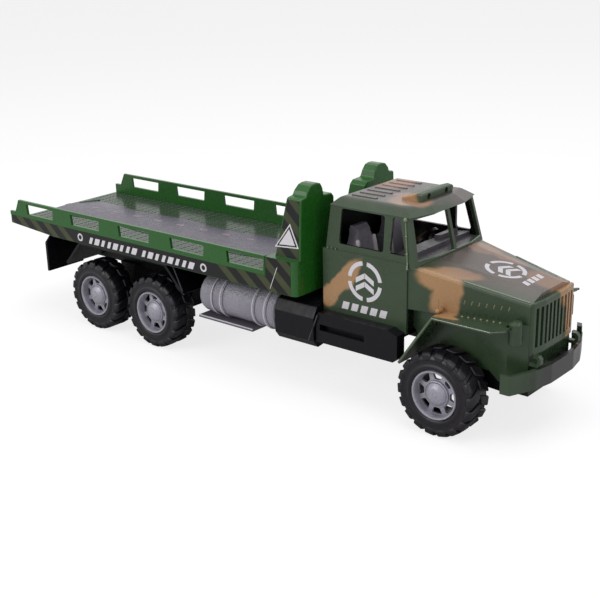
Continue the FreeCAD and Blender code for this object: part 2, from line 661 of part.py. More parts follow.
def cab_shell():
    """Camouflaged cab: lower box, tapered window band, crowned roof."""
    body = sub_part("cab_shell")
    lower = drawing(body, "cab_lower", "XZ_Plane")
    outline(lower, [
        ("cab_back", "cab_sill"),
        ("cab_seam", "cab_sill"),
        ("cab_seam", "belt_line"),
        ("cab_back", "belt_line"),
    ])
    pad(body, "cab_lower_box", lower, "2 * cab_half", True)
    belt = drawing(body, "cab_belt", "XY_Plane", "belt_line - 1.5")
    outline(belt, [
        ("cab_back + 1.5", "-cab_half + 1"),
        ("screen_foot", "-cab_half + 1"),
        ("screen_foot + screen_bow", "-cab_half * 0.45"),
        ("screen_foot + screen_bow", "cab_half * 0.45"),
        ("screen_foot", "cab_half - 1"),
        ("cab_back + 1.5", "cab_half - 1"),
    ])
    brow = drawing(body, "cab_brow", "XY_Plane", "roof_edge")
    outline(brow, [
        ("cab_back + 4", "-roof_half"),
        ("screen_head", "-roof_half"),
        ("screen_head + screen_bow", "-roof_half * 0.45"),
        ("screen_head + screen_bow", "roof_half * 0.45"),
        ("screen_head", "roof_half"),
        ("cab_back + 4", "roof_half"),
    ])
    loft(body, "cab_window_band", belt, brow)
    eave = drawing(body, "cab_eave", "XY_Plane", "roof_edge - 0.2")
    outline(eave, [
        ("cab_back + 3.4", "-roof_half - 0.5"),
        ("screen_head + 1.5", "-roof_half - 0.5"),
        ("screen_head + screen_bow + 2.5", "-roof_half * 0.45"),
        ("screen_head + screen_bow + 2.5", "roof_half * 0.45"),
        ("screen_head + 1.5", "roof_half + 0.5"),
        ("cab_back + 3.4", "roof_half + 0.5"),
    ])
    crown = drawing(body, "cab_crown", "XY_Plane", "roof_edge + roof_rise")
    outline(crown, [
        ("cab_back + 8", "-roof_half + 6"),
        ("screen_head - 5", "-roof_half + 6"),
        ("screen_head + screen_bow - 5", "-roof_half * 0.4"),
        ("screen_head + screen_bow - 5", "roof_half * 0.4"),
        ("screen_head - 5", "roof_half - 6"),
        ("cab_back + 8", "roof_half - 6"),
    ])
    loft(body, "cab_roof", eave, crown)
    soften(body, "cab_roof_round", "roof_rise * 0.9",
           lambda edge: edge.BoundBox.ZMax > size("roof_edge") + size("roof_rise") - 0.01
           and edge.BoundBox.ZMin > size("roof_edge"))
    rib = drawing(body, "cab_rib", "XY_Plane", "roof_edge + roof_rise - 0.3")
    outline(rib, [
        ("cab_back + 12", "-roof_half * 0.7"),
        ("(cab_back + screen_head) / 2", "-roof_half * 0.7"),
        ("(cab_back + screen_head) / 2", "-roof_half * 0.7 + 1.8"),
        ("cab_back + 12", "-roof_half * 0.7 + 1.8"),
    ])
    ridge = pad(body, "cab_roof_rib", rib, "0.8")
    repeat(body, "cab_roof_ribs", [ridge], "Y_Axis", "(roof_half * 1.4 - 1.8) / 6", 7)
    room = drawing(body, "cab_room", "XZ_Plane")
    outline(room, [
        ("cab_back + cab_wall", "cab_sill - 5"),
        ("cab_seam - cab_wall", "cab_sill - 5"),
        ("cab_seam - cab_wall", "belt_line - cab_wall"),
        ("cab_back + cab_wall", "belt_line - cab_wall"),
    ])
    pocket(body, "cab_lower_room", room, "2 * (cab_half - cab_wall)", True)
    floor = drawing(body, "cab_room_belt", "XY_Plane", "belt_line - cab_wall - 0.5")
    outline(floor, [
        ("cab_back + 1.5 + cab_wall", "-cab_half + 1 + cab_wall"),
        ("screen_foot - cab_wall", "-cab_half + 1 + cab_wall"),
        ("screen_foot + screen_bow - cab_wall", "-cab_half * 0.45"),
        ("screen_foot + screen_bow - cab_wall", "cab_half * 0.45"),
        ("screen_foot - cab_wall", "cab_half - 1 - cab_wall"),
        ("cab_back + 1.5 + cab_wall", "cab_half - 1 - cab_wall"),
    ])
    ceiling = drawing(body, "cab_room_brow", "XY_Plane", "roof_edge - 0.6")
    outline(ceiling, [
        ("cab_back + 4 + cab_wall", "-roof_half + cab_wall"),
        ("screen_head - cab_wall", "-roof_half + cab_wall"),
        ("screen_head + screen_bow - cab_wall", "-roof_half * 0.45"),
        ("screen_head + screen_bow - cab_wall", "roof_half * 0.45"),
        ("screen_head - cab_wall", "roof_half - cab_wall"),
        ("cab_back + 4 + cab_wall", "roof_half - cab_wall"),
    ])
    loft(body, "cab_upper_room", floor, ceiling, True)
    door = drawing(body, "cab_door_window", "XZ_Plane")
    outline(door, [
        ("cab_back + 11.3", "belt_line + 4"),
        ("cab_seam - 18", "belt_line + 4"),
        ("cab_seam - 18", "roof_edge - 1.3"),
        ("cab_back + 12.3", "roof_edge - 1.3"),
    ])
    outline(door, [
        ("cab_seam - 13.5", "belt_line + 4.2"),
        ("cab_seam - 2", "belt_line + 4.2"),
        ("cab_seam - 7.5", "roof_edge - 1.3"),
        ("cab_seam - 12.5", "roof_edge - 1.3"),
    ])
    pocket(body, "cab_side_windows", door, "3 * cab_half", True)
    soften(body, "cab_window_round", "1.6",
           lambda edge: is_along(edge, 1) and edge.Length < 3 * size("cab_wall")
           and edge.BoundBox.ZMin > size("belt_line") + 1
           and edge.BoundBox.ZMax < size("roof_edge") - 1)
    pane = drawing(body, "cab_pane", "YZ_Plane", "cab_seam - 11")
    outline(pane, [
        ("1.3", "belt_line + 2"),
        ("cab_half - 4.5", "belt_line + 2"),
        ("roof_half - 3.2", "roof_edge - 2"),
        ("1.3", "roof_edge - 1"),
    ])
    glass = pocket(body, "cab_pane_cut", pane, "40", False, True)
    mirror(body, "cab_panes", [glass])
    return body


def cab_floor():
    """Black floor pan of the cab with the seat bench step."""
    body = sub_part("cab_floor")
    pan = drawing(body, "floor_side", "XZ_Plane")
    outline(pan, [
        ("cab_back + cab_wall", "cab_sill - 2"),
        ("cab_seam - cab_wall", "cab_sill - 2"),
        ("cab_seam - cab_wall", "cab_sill + 1"),
        ("cab_back + seat_place + 24", "cab_sill + 1"),
        ("cab_back + seat_place + 24", "cab_sill + seat_rise"),
        ("cab_back + cab_wall", "cab_sill + seat_rise"),
    ])
    pad(body, "floor_pan", pan, "2 * (cab_half - cab_wall)", True)
    return body


def seat(label, side):
    """Grey high-backed seat with a narrow head rest on its back."""
    body = sub_part(label, "cab_back + seat_place", side + " * cab_half * 0.44",
                    "cab_sill + seat_rise")
    sketch = drawing(body, label + "_side", "XZ_Plane")
    outline(sketch, [
        ("0", "0"),
        ("22", "0"),
        ("24", "5"),
        ("22", "8"),
        ("8", "6.5"),
        ("3.5", "38"),
        ("1", "41"),
        ("-2.2", "41"),
        ("-3.2", "38"),
    ])
    pad(body, label + "_body", sketch, "cab_half * 0.62", True)
    notch = drawing(body, label + "_notch", "YZ_Plane", "-8")
    outline(notch, [
        ("cab_half * 0.16", "44"),
        ("cab_half * 0.16", "36"),
        ("cab_half * 0.24", "30"),
        ("cab_half * 0.40", "27"),
        ("cab_half * 0.40", "44"),
    ])
    cut = pocket(body, label + "_notch_cut", notch, "30", False, True)
    mirror(body, label + "_notches", [cut])
    return body


def dashboard():
    """Grey dashboard with a hooded instrument bulge before the driver."""
    body = sub_part("dashboard")
    shelf = drawing(body, "dash_side", "XZ_Plane")
    outline(shelf, [
        ("cab_seam - 19", "belt_line - 6"),
        ("cab_seam - 16", "belt_line - 20"),
        ("cab_seam - cab_wall", "belt_line - 22"),
        ("cab_seam - cab_wall", "belt_line - 3"),
    ])
    pad(body, "dash_body", shelf, "2 * (cab_half - cab_wall)", True)
    top = drawing(body, "dash_top", "XZ_Plane")
    outline(top, [
        ("cab_seam - 18.5", "belt_line - 8"),
        ("cab_seam - cab_wall - 0.6", "belt_line - 8"),
        ("cab_seam - cab_wall - 0.6", "belt_line + 3.6"),
        ("cab_seam - 14", "belt_line + 2.6"),
        ("cab_seam - 18.5", "belt_line - 2"),
    ])
    pad(body, "dash_shelf", top, "2 * (cab_half - cab_wall - 2.6)", True)
    bulge = drawing(body, "dash_bulge", "XZ_Plane", "-cab_half * 0.75")
    outline(bulge, [
        ("cab_seam - 21.97", "belt_line - 10"),
        ("cab_seam - 8", "belt_line - 10"),
        ("cab_seam - 8", "belt_line + 5.5"),
        ("cab_seam - 12.4", "belt_line + 5"),
        ("cab_seam - 12.79", "belt_line + 3.1"),
    ])
    pad(body, "dash_hood", bulge, "cab_half * 0.5")
    apron = drawing(body, "dash_apron", "XY_Plane", "belt_line - 1.6")
    outline(apron, [
        ("cab_seam - 9", "-cab_half + cab_wall + 2.2"),
        ("screen_foot - cab_wall - 1.4", "-cab_half + cab_wall + 2.2"),
        ("screen_foot + screen_bow - cab_wall - 1.4", "-cab_half * 0.43"),
        ("screen_foot + screen_bow - cab_wall - 1.4", "cab_half * 0.43"),
        ("screen_foot - cab_wall - 1.4", "cab_half - cab_wall - 2.2"),
        ("cab_seam - 9", "cab_half - cab_wall - 2.2"),
    ])
    pad(body, "dash_front", apron, "3")
    return body


def steering_wheel():
    """Black steering wheel on a short sloping column."""
    body = sub_part("steering_wheel", "cab_seam - 25", "cab_half * 0.5", "belt_line - 3")
    disc = drawing(body, "steering_section", "XZ_Plane")
    outline(disc, [
        ("8.4", "-1"),
        ("10.4", "-1"),
        ("10.4", "1"),
        ("8.4", "1"),
    ])
    spin(body, "steering_ring", disc)
    hub = drawing(body, "steering_hub", "XY_Plane", "-1")
    ring(hub, "0", "0", "2.4")
    pad(body, "steering_boss", hub, "5.5", False, True)
    middle = drawing(body, "steering_middle", "XY_Plane", "-1")
    ring(middle, "0", "0", "2.4")
    pad(body, "steering_cap", middle, "2")
    arm = drawing(body, "steering_arm", "XY_Plane", "-0.7")
    outline(arm, [
        ("-1.1", "0"),
        ("1.1", "0"),
        ("1.1", "9"),
        ("-1.1", "9"),
    ])
    spoke = pad(body, "steering_spoke", arm, "1.4")
    turn_about(body, "steering_spokes", [spoke], "Z_Axis", 3)
    body.Placement.Rotation = FreeCAD.Rotation(FreeCAD.Vector(0, 1, 0), -55)
    return body


def hood_fenders():
    """Camouflaged front body: tapered hood, inner walls and mudguards."""
    body = sub_part("hood_fenders")
    start = drawing(body, "hood_rear", "YZ_Plane", "cab_seam")
    outline(start, [
        ("-cab_half + 1", "guard_top - 2"),
        ("cab_half - 1", "guard_top - 2"),
        ("cab_half - 1", "belt_line - 1.7"),
        ("cab_half - 1.5", "belt_line - 0.5"),
        ("cab_half - 2.8", "belt_line + 0.1"),
        ("cab_half * 0.5", "belt_line + hood_crown * 0.7"),
        ("-cab_half * 0.5", "belt_line + hood_crown * 0.7"),
        ("-cab_half + 2.8", "belt_line + 0.1"),
        ("-cab_half + 1.5", "belt_line - 0.5"),
        ("-cab_half + 1", "belt_line - 1.7"),
    ])
    end = drawing(body, "hood_front", "YZ_Plane", "nose_front")
    outline(end, [
        ("-nose_half", "guard_top - 2"),
        ("nose_half", "guard_top - 2"),
        ("nose_half", "nose_top - 1.7"),
        ("nose_half - 0.5", "nose_top - 0.5"),
        ("nose_half - 1.8", "nose_top + 0.1"),
        ("nose_half * 0.5", "nose_top + hood_crown"),
        ("-nose_half * 0.5", "nose_top + hood_crown"),
        ("-nose_half + 1.8", "nose_top + 0.1"),
        ("-nose_half + 0.5", "nose_top - 0.5"),
        ("-nose_half", "nose_top - 1.7"),
    ])
    loft(body, "hood_top", start, end)
    plan = drawing(body, "hood_apron", "XY_Plane", "apron_foot")
    outline(plan, [
        ("cab_seam", "-apron_half"),
        ("nose_front - 10", "-apron_half"),
        ("nose_front", "-nose_half"),
        ("nose_front", "nose_half"),
        ("nose_front - 10", "apron_half"),
        ("cab_seam", "apron_half"),
    ])
    pad(body, "hood_aprons", plan, "guard_top - apron_foot")
    slant = drawing(body, "hood_slant", "XZ_Plane")
    outline(slant, [
        ("cab_seam - 1", "apron_foot - 1"),
        ("front_axle + tyre_radius + 3", "apron_foot - 1"),
        ("front_axle + tyre_radius + 2", "apron_foot + 0.5"),
        ("front_axle + tyre_radius - 3.5", "apron_foot + apron_notch"),
        ("cab_seam + 4", "apron_foot + apron_notch"),
        ("cab_seam + 4", "cab_sill - 1"),
        ("cab_seam - 1", "cab_sill + 4"),
    ])
    pocket(body, "hood_slant_cut", slant, "3 * apron_half", True)
    cowl = drawing(body, "hood_cowl", "XY_Plane", "belt_line - 1.6")
    outline(cowl, [
        ("cab_seam - 2", "-cab_half + 0.9"),
        ("screen_foot + 0.1", "-cab_half + 0.9"),
        ("screen_foot + screen_bow + 0.1", "-cab_half * 0.45"),
        ("screen_foot + screen_bow + 0.1", "cab_half * 0.45"),
        ("screen_foot + 0.1", "cab_half - 0.9"),
        ("cab_seam - 2", "cab_half - 0.9"),
    ])
    pocket(body, "hood_cowl_cut", cowl, "10", False, True)
    hollow = drawing(body, "hood_hollow", "XY_Plane", "apron_foot - 1")
    outline(hollow, [
        ("cab_seam - 1", "-apron_half + panel_wall"),
        ("nose_front - 11", "-apron_half + panel_wall"),
        ("nose_front - panel_wall", "-nose_half + panel_wall"),
        ("nose_front - panel_wall", "nose_half - panel_wall"),
        ("nose_front - 11", "apron_half - panel_wall"),
        ("cab_seam - 1", "apron_half - panel_wall"),
    ])
    pocket(body, "hood_bay", hollow, "guard_top - apron_foot + 0.2", False, True)
    inner = drawing(body, "hood_inner_rear", "YZ_Plane", "cab_seam - 1")
    outline(inner, [
        ("-cab_half + 3", "guard_top - 1.2"),
        ("cab_half - 3", "guard_top - 1.2"),
        ("cab_half - 3", "belt_line - 2"),
        ("cab_half * 0.5", "belt_line + hood_crown * 0.7 - 2"),
        ("-cab_half * 0.5", "belt_line + hood_crown * 0.7 - 2"),
        ("-cab_half + 3", "belt_line - 2"),
    ])
    outer = drawing(body, "hood_inner_front", "YZ_Plane", "nose_front - panel_wall")
    outline(outer, [
        ("-nose_half + 2", "guard_top - 1.2"),
        ("nose_half - 2", "guard_top - 1.2"),
        ("nose_half - 2", "nose_top - 2"),
        ("nose_half * 0.5", "nose_top + hood_crown - 2"),
        ("-nose_half * 0.5", "nose_top + hood_crown - 2"),
        ("-nose_half + 2", "nose_top - 2"),
    ])
    loft(body, "hood_bay_top", inner, outer, True)
    guard = drawing(body, "hood_guard", "XZ_Plane", "apron_half - 1")
    outline(guard, [
        ("front_axle - tyre_radius - 4", "tyre_radius + 11"),
        ("front_axle - tyre_radius - 2.6", "tyre_radius + 10.2"),
        ("front_axle - 6.5", "guard_top - 1.6"),
        ("guard_front", "guard_top - 1.6"),
        ("guard_front", "guard_top"),
        ("front_axle - 7.5", "guard_top"),
    ])
    wing = pad(body, "hood_wing", guard, "guard_half - apron_half + 1")
    corner = drawing(body, "hood_wing_corner", "XY_Plane", "guard_top - 4")
    outline(corner, [
        ("guard_front - 6", "-guard_half - 0.5"),
        ("guard_front - 6", "-guard_half"),
        ("guard_front", "-guard_half + 6.5"),
        ("guard_front + 1", "-guard_half + 6.5"),
        ("guard_front + 1", "-guard_half - 0.5"),
    ])
    bite = "(apron_half - nose_half)"
    outline(corner, [
        ("nose_front - 9.7", "-apron_half + 0.03 * " + bite),
        ("guard_front + 1", "-apron_half + (guard_front - nose_front + 11) / 10 * " + bite),
        ("guard_front + 1", "-nose_half - 9.8"),
        ("nose_front - 9.7", "-nose_half - 9.8"),
    ])
    trim = pocket(body, "hood_wing_trim", corner, "8", False, True)
    mirror(body, "hood_wings", [wing, trim])
    web = drawing(body, "hood_web", "XZ_Plane", "apron_half - panel_wall")
    outline(web, [
        ("front_axle - tyre_radius - 3", "tyre_radius + 11"),
        ("cab_seam + 6", "apron_foot + apron_notch + 1"),
        ("cab_seam + 6", "guard_top - 1"),
        ("front_axle - 7", "guard_top - 1"),
    ])
    cheek = pad(body, "hood_cheek", web, "panel_wall")
    mirror(body, "hood_cheeks", [cheek])
    mouth = drawing(body, "hood_mouth", "YZ_Plane", "nose_front - 5")
    outline(mouth, [
        ("-nose_half + 3", "grille_foot + 3"),
        ("nose_half - 3", "grille_foot + 3"),
        ("nose_half - 3", "nose_top - 3"),
        ("-nose_half + 3", "nose_top - 3"),
    ])
    pocket(body, "hood_mouth_cut", mouth, "12", False, True)
    return body


def radiator_grille():
    """Camouflaged upright grille with ten bars."""
    body = sub_part("radiator_grille", "nose_front", "0", "0")
    plate = drawing(body, "grille_plan", "XY_Plane", "grille_foot")
    outline(plate, [
        ("0", "-nose_half + 0.6"),
        ("1.6", "-nose_half + 1.6"),
        ("3", "-nose_half * 0.5"),
        ("3", "nose_half * 0.5"),
        ("1.6", "nose_half - 1.6"),
        ("0", "nose_half - 0.6"),
    ])
    pad(body, "grille_plate", plate, "nose_top - grille_foot + 0.6")
    soften(body, "grille_top_round", "1.1",
           lambda edge: lies_at(edge, 2, size("nose_top") + 0.6) and edge.BoundBox.XMax > 1)
    slot = drawing(body, "grille_slot", "YZ_Plane", "-1")
    outline(slot, [
        ("-nose_half + 3.6", "grille_foot + 4"),
        ("-nose_half + 6.0", "grille_foot + 4"),
        ("-nose_half + 6.0", "nose_top - 3"),
        ("-nose_half + 3.6", "nose_top - 3"),
    ])
    cut = pocket(body, "grille_slot_cut", slot, "6", False, True)
    repeat(body, "grille_slots", [cut], "Y_Axis", "(2 * nose_half - 9.6) / 9", 10)
    return body


def headlamp_pod(label, side):
    """Upright rounded lamp pod on the hood's front corner."""
    body = sub_part(label, "nose_front - 5.6", side + " * (nose_half + 5.6)", "guard_top - 10")
    plan = drawing(body, label + "_plan", "XY_Plane")
    ring(plan, "0", "0", "3.9")
    pad(body, label + "_post", plan, "11.4")
    cap = drawing(body, label + "_cap", "XY_Plane", "11.4")
    ring(cap, "0", "0", "3.9")
    peak = drawing(body, label + "_peak", "XY_Plane", "13.2")
    ring(peak, "1.2", "0", "2.2")
    loft(body, label + "_top", cap, peak)
    back = drawing(body, label + "_back", "XY_Plane", "-1")
    reach = side + " * "
    outline(back, [
        ("-4.4", reach + "(apron_half - nose_half - 5.6)"),
        ("5.6", reach + "-5.6"),
        ("5.6", reach + "-9"),
        ("-9", reach + "-9"),
        ("-9", reach + "(apron_half - nose_half - 5.6)"),
    ])
    pocket(body, label + "_back_cut", back, "11", False, True)
    return body


def roof_lamp_box():
    """Wedge-shaped lamp box on the roof with two round recesses."""
    body = sub_part("roof_lamp_box", "screen_head - 3", "0", "roof_edge + roof_rise")
    side = drawing(body, "lamp_box_side", "XZ_Plane")
    outline(side, [
        ("-14", "0"),
        ("0", "0"),
        ("0.5", "4.6"),
        ("-3", "5.2"),
        ("-14", "1.6"),
    ])
    pad(body, "lamp_box_block", side, "roof_half * 0.96", True)
    soften(body, "lamp_box_round", "1.2",
           lambda edge: not lies_at(edge, 2, 0) and edge.BoundBox.ZMin > 1
           and edge.BoundBox.XMax > -5)
    eye = drawing(body, "lamp_box_eye", "YZ_Plane", "1")
    ring(eye, "roof_half * 0.27", "2.5", "1.8")
    cut = pocket(body, "lamp_box_recess", eye, "2.6")
    mirror(body, "lamp_box_recesses", [cut])
    return body


def front_bumper():
    """Camouflaged bumper, swept back at both ends, marker post at the left."""
    body = sub_part("front_bumper", "bumper_front", "0", "bumper_foot")
    plan = drawing(body, "bumper_plan", "XY_Plane")
    outline(plan, [
        ("-bumper_sweep - 6", "-bumper_half"),
        ("-bumper_sweep", "-bumper_half"),
        ("-2.5", "-bumper_half * 0.62"),
        ("0", "-bumper_half * 0.3"),
        ("0", "bumper_half * 0.3"),
        ("-2.5", "bumper_half * 0.62"),
        ("-bumper_sweep", "bumper_half"),
        ("-bumper_sweep - 6", "bumper_half"),
        ("-bumper_sweep - 6", "bumper_half - 2.2"),
        ("-bumper_sweep - 1.2", "bumper_half - 2.2"),
        ("-5", "bumper_half * 0.60"),
        ("-2.6", "bumper_half * 0.28"),
        ("-2.6", "-bumper_half * 0.28"),
        ("-5", "-bumper_half * 0.60"),
        ("-bumper_sweep - 1.2", "-bumper_half + 2.2"),
        ("-bumper_sweep - 6", "-bumper_half + 2.2"),
    ])
    pad(body, "bumper_beam", plan, "bumper_height")
    soften(body, "bumper_bends", "9",
           lambda edge: is_along(edge, 2) and abs(edge.BoundBox.YMin) < size("bumper_half") * 0.7)
    soften(body, "bumper_corners", "1.7",
           lambda edge: is_along(edge, 2) and abs(edge.BoundBox.YMin) > size("bumper_half") - 0.1
           and edge.BoundBox.XMin > -size("bumper_sweep") - 1)
    post = drawing(body, "bumper_post", "XY_Plane", "1")
    outline(post, [
        ("-bumper_sweep + 2.2", "bumper_half - 6"),
        ("-bumper_sweep - 0.7", "bumper_half - 0.4"),
        ("-bumper_sweep - 3.9", "bumper_half - 0.4"),
        ("-bumper_sweep - 1", "bumper_half - 6"),
    ])
    pad(body, "bumper_marker", post, "bumper_height + 4.5")
    stay = drawing(body, "bumper_stay", "XY_Plane", "2")
    outline(stay, [
        ("nose_front - bumper_front", "frame_half - 2"),
        ("-1.6", "frame_half - 2"),
        ("-1.6", "frame_half + 2"),
        ("nose_front - bumper_front", "frame_half + 2"),
    ])
    arm = pad(body, "bumper_arm", stay, "bumper_height - 5")
    mirror(body, "bumper_arms", [arm])
    return body


def tow_hook(label, side):
    """Small towing eye between the grille and the bumper."""
    body = sub_part(label, "nose_front", side + " * (nose_half - 2)",
                    "bumper_foot + bumper_height + 0.5")
    hook = drawing(body, label + "_side", "XZ_Plane")
    outline(hook, [
        ("0", "0"),
        ("5.5", "0"),
        ("7.4", "2"),
        ("7.4", "5"),
        ("5.8", "6.8"),
        ("3", "6.8"),
        ("3", "5"),
        ("4.8", "5"),
        ("5.4", "4.2"),
        ("5.4", "2.8"),
        ("4.6", "2"),
        ("0", "2"),
    ])
    pad(body, label + "_body", hook, "3", True)
    return body


def fuel_tank(label, side):
    """Grey round tank lying along the frame, with its straps."""
    body = sub_part(label, "tank_rear", side + " * (frame_half + 9.5 + tank_radius)", "frame_foot + 5")
    sketch = drawing(body, label + "_section", "XY_Plane")
    corners = [
        ("0", "0"),
        ("tank_radius - 2", "0"),
        ("tank_radius - 0.6", "0.6"),
        ("tank_radius", "2"),
    ]
    for start, end in (("0.13", "0.17"), ("0.27", "0.33"), ("0.71", "0.76"), ("0.86", "0.91")):
        corners.append(("tank_radius", "tank_length * " + start))
        corners.append(("tank_radius + strap_thick", "tank_length * " + start))
        corners.append(("tank_radius + strap_thick", "tank_length * " + end))
        corners.append(("tank_radius", "tank_length * " + end))
    corners.append(("tank_radius", "tank_length - 2"))
    corners.append(("tank_radius - 0.6", "tank_length - 0.6"))
    corners.append(("tank_radius - 2", "tank_length"))
    corners.append(("0", "tank_length"))
    outline(sketch, corners)
    spin(body, label + "_turned", sketch)
    body.Placement.Rotation = FreeCAD.Rotation(FreeCAD.Vector(0, 0, 1), -90)
    return body


def tank_cradle():
    """Thin grey tray that carries both tanks and crosses under the frame."""
    body = sub_part("tank_cradle")
    plate = drawing(body, "cradle_side", "XZ_Plane")
    top = "(frame_foot + 5 - tank_radius - strap_thick)"
    outline(plate, [
        ("tank_rear - 1.5", top + " - 1.6"),
        ("tank_rear + tank_length * 0.72", top + " - 1.6"),
        ("tank_rear + tank_length * 0.72", top),
        ("tank_rear - 1.5", top),
    ])
    pad(body, "cradle_plate", plate, "2 * (frame_half + 9 + 2 * tank_radius)", True)
    leg = drawing(body, "cradle_leg", "XZ_Plane", "frame_half - 2")
    outline(leg, [
        ("tank_rear + 12", top + " - 0.5"),
        ("tank_rear + 36", top + " - 0.5"),
        ("tank_rear + 36", "frame_foot"),
        ("tank_rear + 12", "frame_foot"),
    ])
    web = pad(body, "cradle_web", leg, "4")
    mirror(body, "cradle_webs", [web])
    return body


def air_box(label, side):
    """Black rounded equipment box between the tank and the step."""
    body = sub_part(label, "tank_rear + tank_length + 0.3", side + " * (frame_half + frame_thick / 2)",
                    "frame_foot - 11")
    face = drawing(body, label + "_face", "YZ_Plane")
    reach = side + " * "
    outline(face, [
        ("0", "11"),
        (reach + "20", "1"),
        (reach + "28", "0"),
        (reach + "32", "5"),
        (reach + "32", "20"),
        (reach + "28", "27"),
        (reach + "20", "28.5"),
        ("0", "28.5"),
    ])
    pad(body, label + "_box", face, "cab_back - tank_rear - tank_length - 1")
    soften(body, label + "_round", "1.5",
           lambda edge: is_along(edge, 0) and abs(edge.BoundBox.YMin) > 15)
    return body


def side_step(label, side):
    """Black step box under the cab door with a long foot recess."""
    body = sub_part(label, "cab_back", side + " * (frame_half + frame_thick / 2)", "cab_sill - 16")
    outside = "(cab_half + step_reach - frame_half - frame_thick / 2)"
    face = drawing(body, label + "_face", "XZ_Plane", "-1 * " + side + " * " + outside)
    outline(face, [
        ("0", "0"),
        ("58", "0"),
        ("61", "3"),
        ("61", "17"),
        ("54", "19.5"),
        ("2", "19.5"),
        ("0", "12"),
    ])
    pad(body, label + "_box", face, "step_reach - 0.4", False, side == "-1")
    slot = drawing(body, label + "_slot", "XZ_Plane", "-1 * " + side + " * (" + outside + " + 0.5)")
    outline(slot, [
        ("3", "8"),
        ("37", "8"),
        ("37", "12"),
        ("3", "12"),
    ])
    pocket(body, label + "_recess", slot, "5", False, side == "1")
    stay = drawing(body, label + "_stay", "XZ_Plane")
    outline(stay, [
        ("8", "7"),
        ("50", "7"),
        ("50", "13.5"),
        ("8", "13.5"),
    ])
    pad(body, label + "_bracket", stay, "cab_half + 2 - frame_half - frame_thick / 2", False, side == "1")
    return body


def rear_mudguard(label, side):
    """Black guard over the two rear wheels with sloping ends."""
    body = sub_part(label, "front_axle - wheel_base - tandem_pitch / 2",
                    side + " * (frame_half + frame_thick / 2)", "0")
    strip = drawing(body, label + "_side", "XZ_Plane")
    high = "(board_top - board_depth - 1)"
    outline(strip, [
        ("-tandem_pitch / 2 - tyre_radius - 6", "tyre_radius * 2 - 6"),
        ("-tandem_pitch / 2 - tyre_radius - 4.5", "tyre_radius * 2 - 7.4"),
        ("-tandem_pitch / 2 - 14", high + " - 1.8"),
        ("tandem_pitch / 2 + 14", high + " - 1.8"),
        ("tandem_pitch / 2 + tyre_radius + 4.5", "tyre_radius * 2 - 7.4"),
        ("tandem_pitch / 2 + tyre_radius + 6", "tyre_radius * 2 - 6"),
        ("tandem_pitch / 2 + 15", high),
        ("-tandem_pitch / 2 - 15", high),
    ])
    reach = "(tray_half - 4 - frame_half - frame_thick / 2)"
    pad(body, label + "_strip", strip, reach, False, side == "1")
    return body


def rear_plate():
    """Black plate across the frame behind the rear wheels."""
    body = sub_part("rear_plate", "tray_rear + 36", "0", "0")
    face = drawing(body, "rear_plate_face", "YZ_Plane", "-2")
    outline(face, [
        ("-tray_half + 4.5", "tyre_radius + 8.5"),
        ("tray_half - 4.5", "tyre_radius + 8.5"),
        ("tray_half - 4.5", "deck_top - 14"),
        ("tray_half - 9.5", "deck_top - 9"),
        ("-tray_half + 9.5", "deck_top - 9"),
        ("-tray_half + 4.5", "deck_top - 14"),
    ])
    pad(body, "rear_plate_panel", face, "2")
    gap = drawing(body, "rear_plate_gap", "YZ_Plane", "-4")
    outline(gap, [
        ("-frame_half - 5", "tyre_radius"),
        ("frame_half + 5", "tyre_radius"),
        ("frame_half + 1", "frame_foot + 10"),
        ("-frame_half - 1", "frame_foot + 10"),
    ])
    pocket(body, "rear_plate_gap_cut", gap, "6", False, True)
    return body


parts = []
parts.append(chassis_frame())
parts.append(platform_deck())
parts.append(side_rail("side_rail_right", "-1"))
parts.append(side_rail("side_rail_left", "1"))
parts.append(headboard())
parts.append(cab_shell())
parts.append(cab_floor())
parts.append(seat("seat_right", "-1"))
parts.append(seat("seat_left", "1"))
parts.append(dashboard())
parts.append(steering_wheel())
parts.append(hood_fenders())
parts.append(radiator_grille())
parts.append(headlamp_pod("headlamp_pod_right", "-1"))
parts.append(headlamp_pod("headlamp_pod_left", "1"))
parts.append(roof_lamp_box())
parts.append(front_bumper())
parts.append(tow_hook("tow_hook_right", "-1"))
parts.append(tow_hook("tow_hook_left", "1"))
parts.append(fuel_tank("fuel_tank_right", "-1"))
parts.append(fuel_tank("fuel_tank_left", "1"))
parts.append(tank_cradle())
parts.append(air_box("air_box_right", "-1"))
parts.append(air_box("air_box_left", "1"))
parts.append(side_step("side_step_right", "-1"))
parts.append(side_step("side_step_left", "1"))
parts.append(rear_mudguard("rear_mudguard_right", "-1"))
parts.append(rear_mudguard("rear_mudguard_left", "1"))
parts.append(rear_plate())
for place, along in (("front", "front_axle"),
                     ("middle", "front_axle - wheel_base"),
                     ("rear", "front_axle - wheel_base - tandem_pitch")):
    parts.append(axle("axle_" + place, along))
    for hand, side in (("right", "-1"), ("left", "1")):
        parts.append(tyre("tyre_" + place + "_" + hand, along, side))
        parts.append(rim("rim_" + place + "_" + hand, along, side))
doc.recompute()

for thing in doc.Objects:
    if "Invalid" in thing.State or "Error" in thing.State:
        raise RuntimeError(thing.Name + " is not sound")

os.makedirs("parts", exist_ok=True)
for body in parts:
    shape = body.Shape
    if shape.isNull() or not shape.isValid() or not shape.Solids:
        raise RuntimeError(body.Label + " has no sound shape")
    if len(shape.Solids) != 1:
        raise RuntimeError(body.Label + " is in several pieces")
    shape.exportStep("parts/" + body.Label + ".step")
    box = shape.BoundBox
    print(body.Label, round(shape.Volume), [round(v, 1) for v in (
        box.XMin, box.XMax, box.YMin, box.YMax, box.ZMin, box.ZMax)])
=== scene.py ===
import math
import bmesh
import bpy
from mathutils import Matrix, Vector


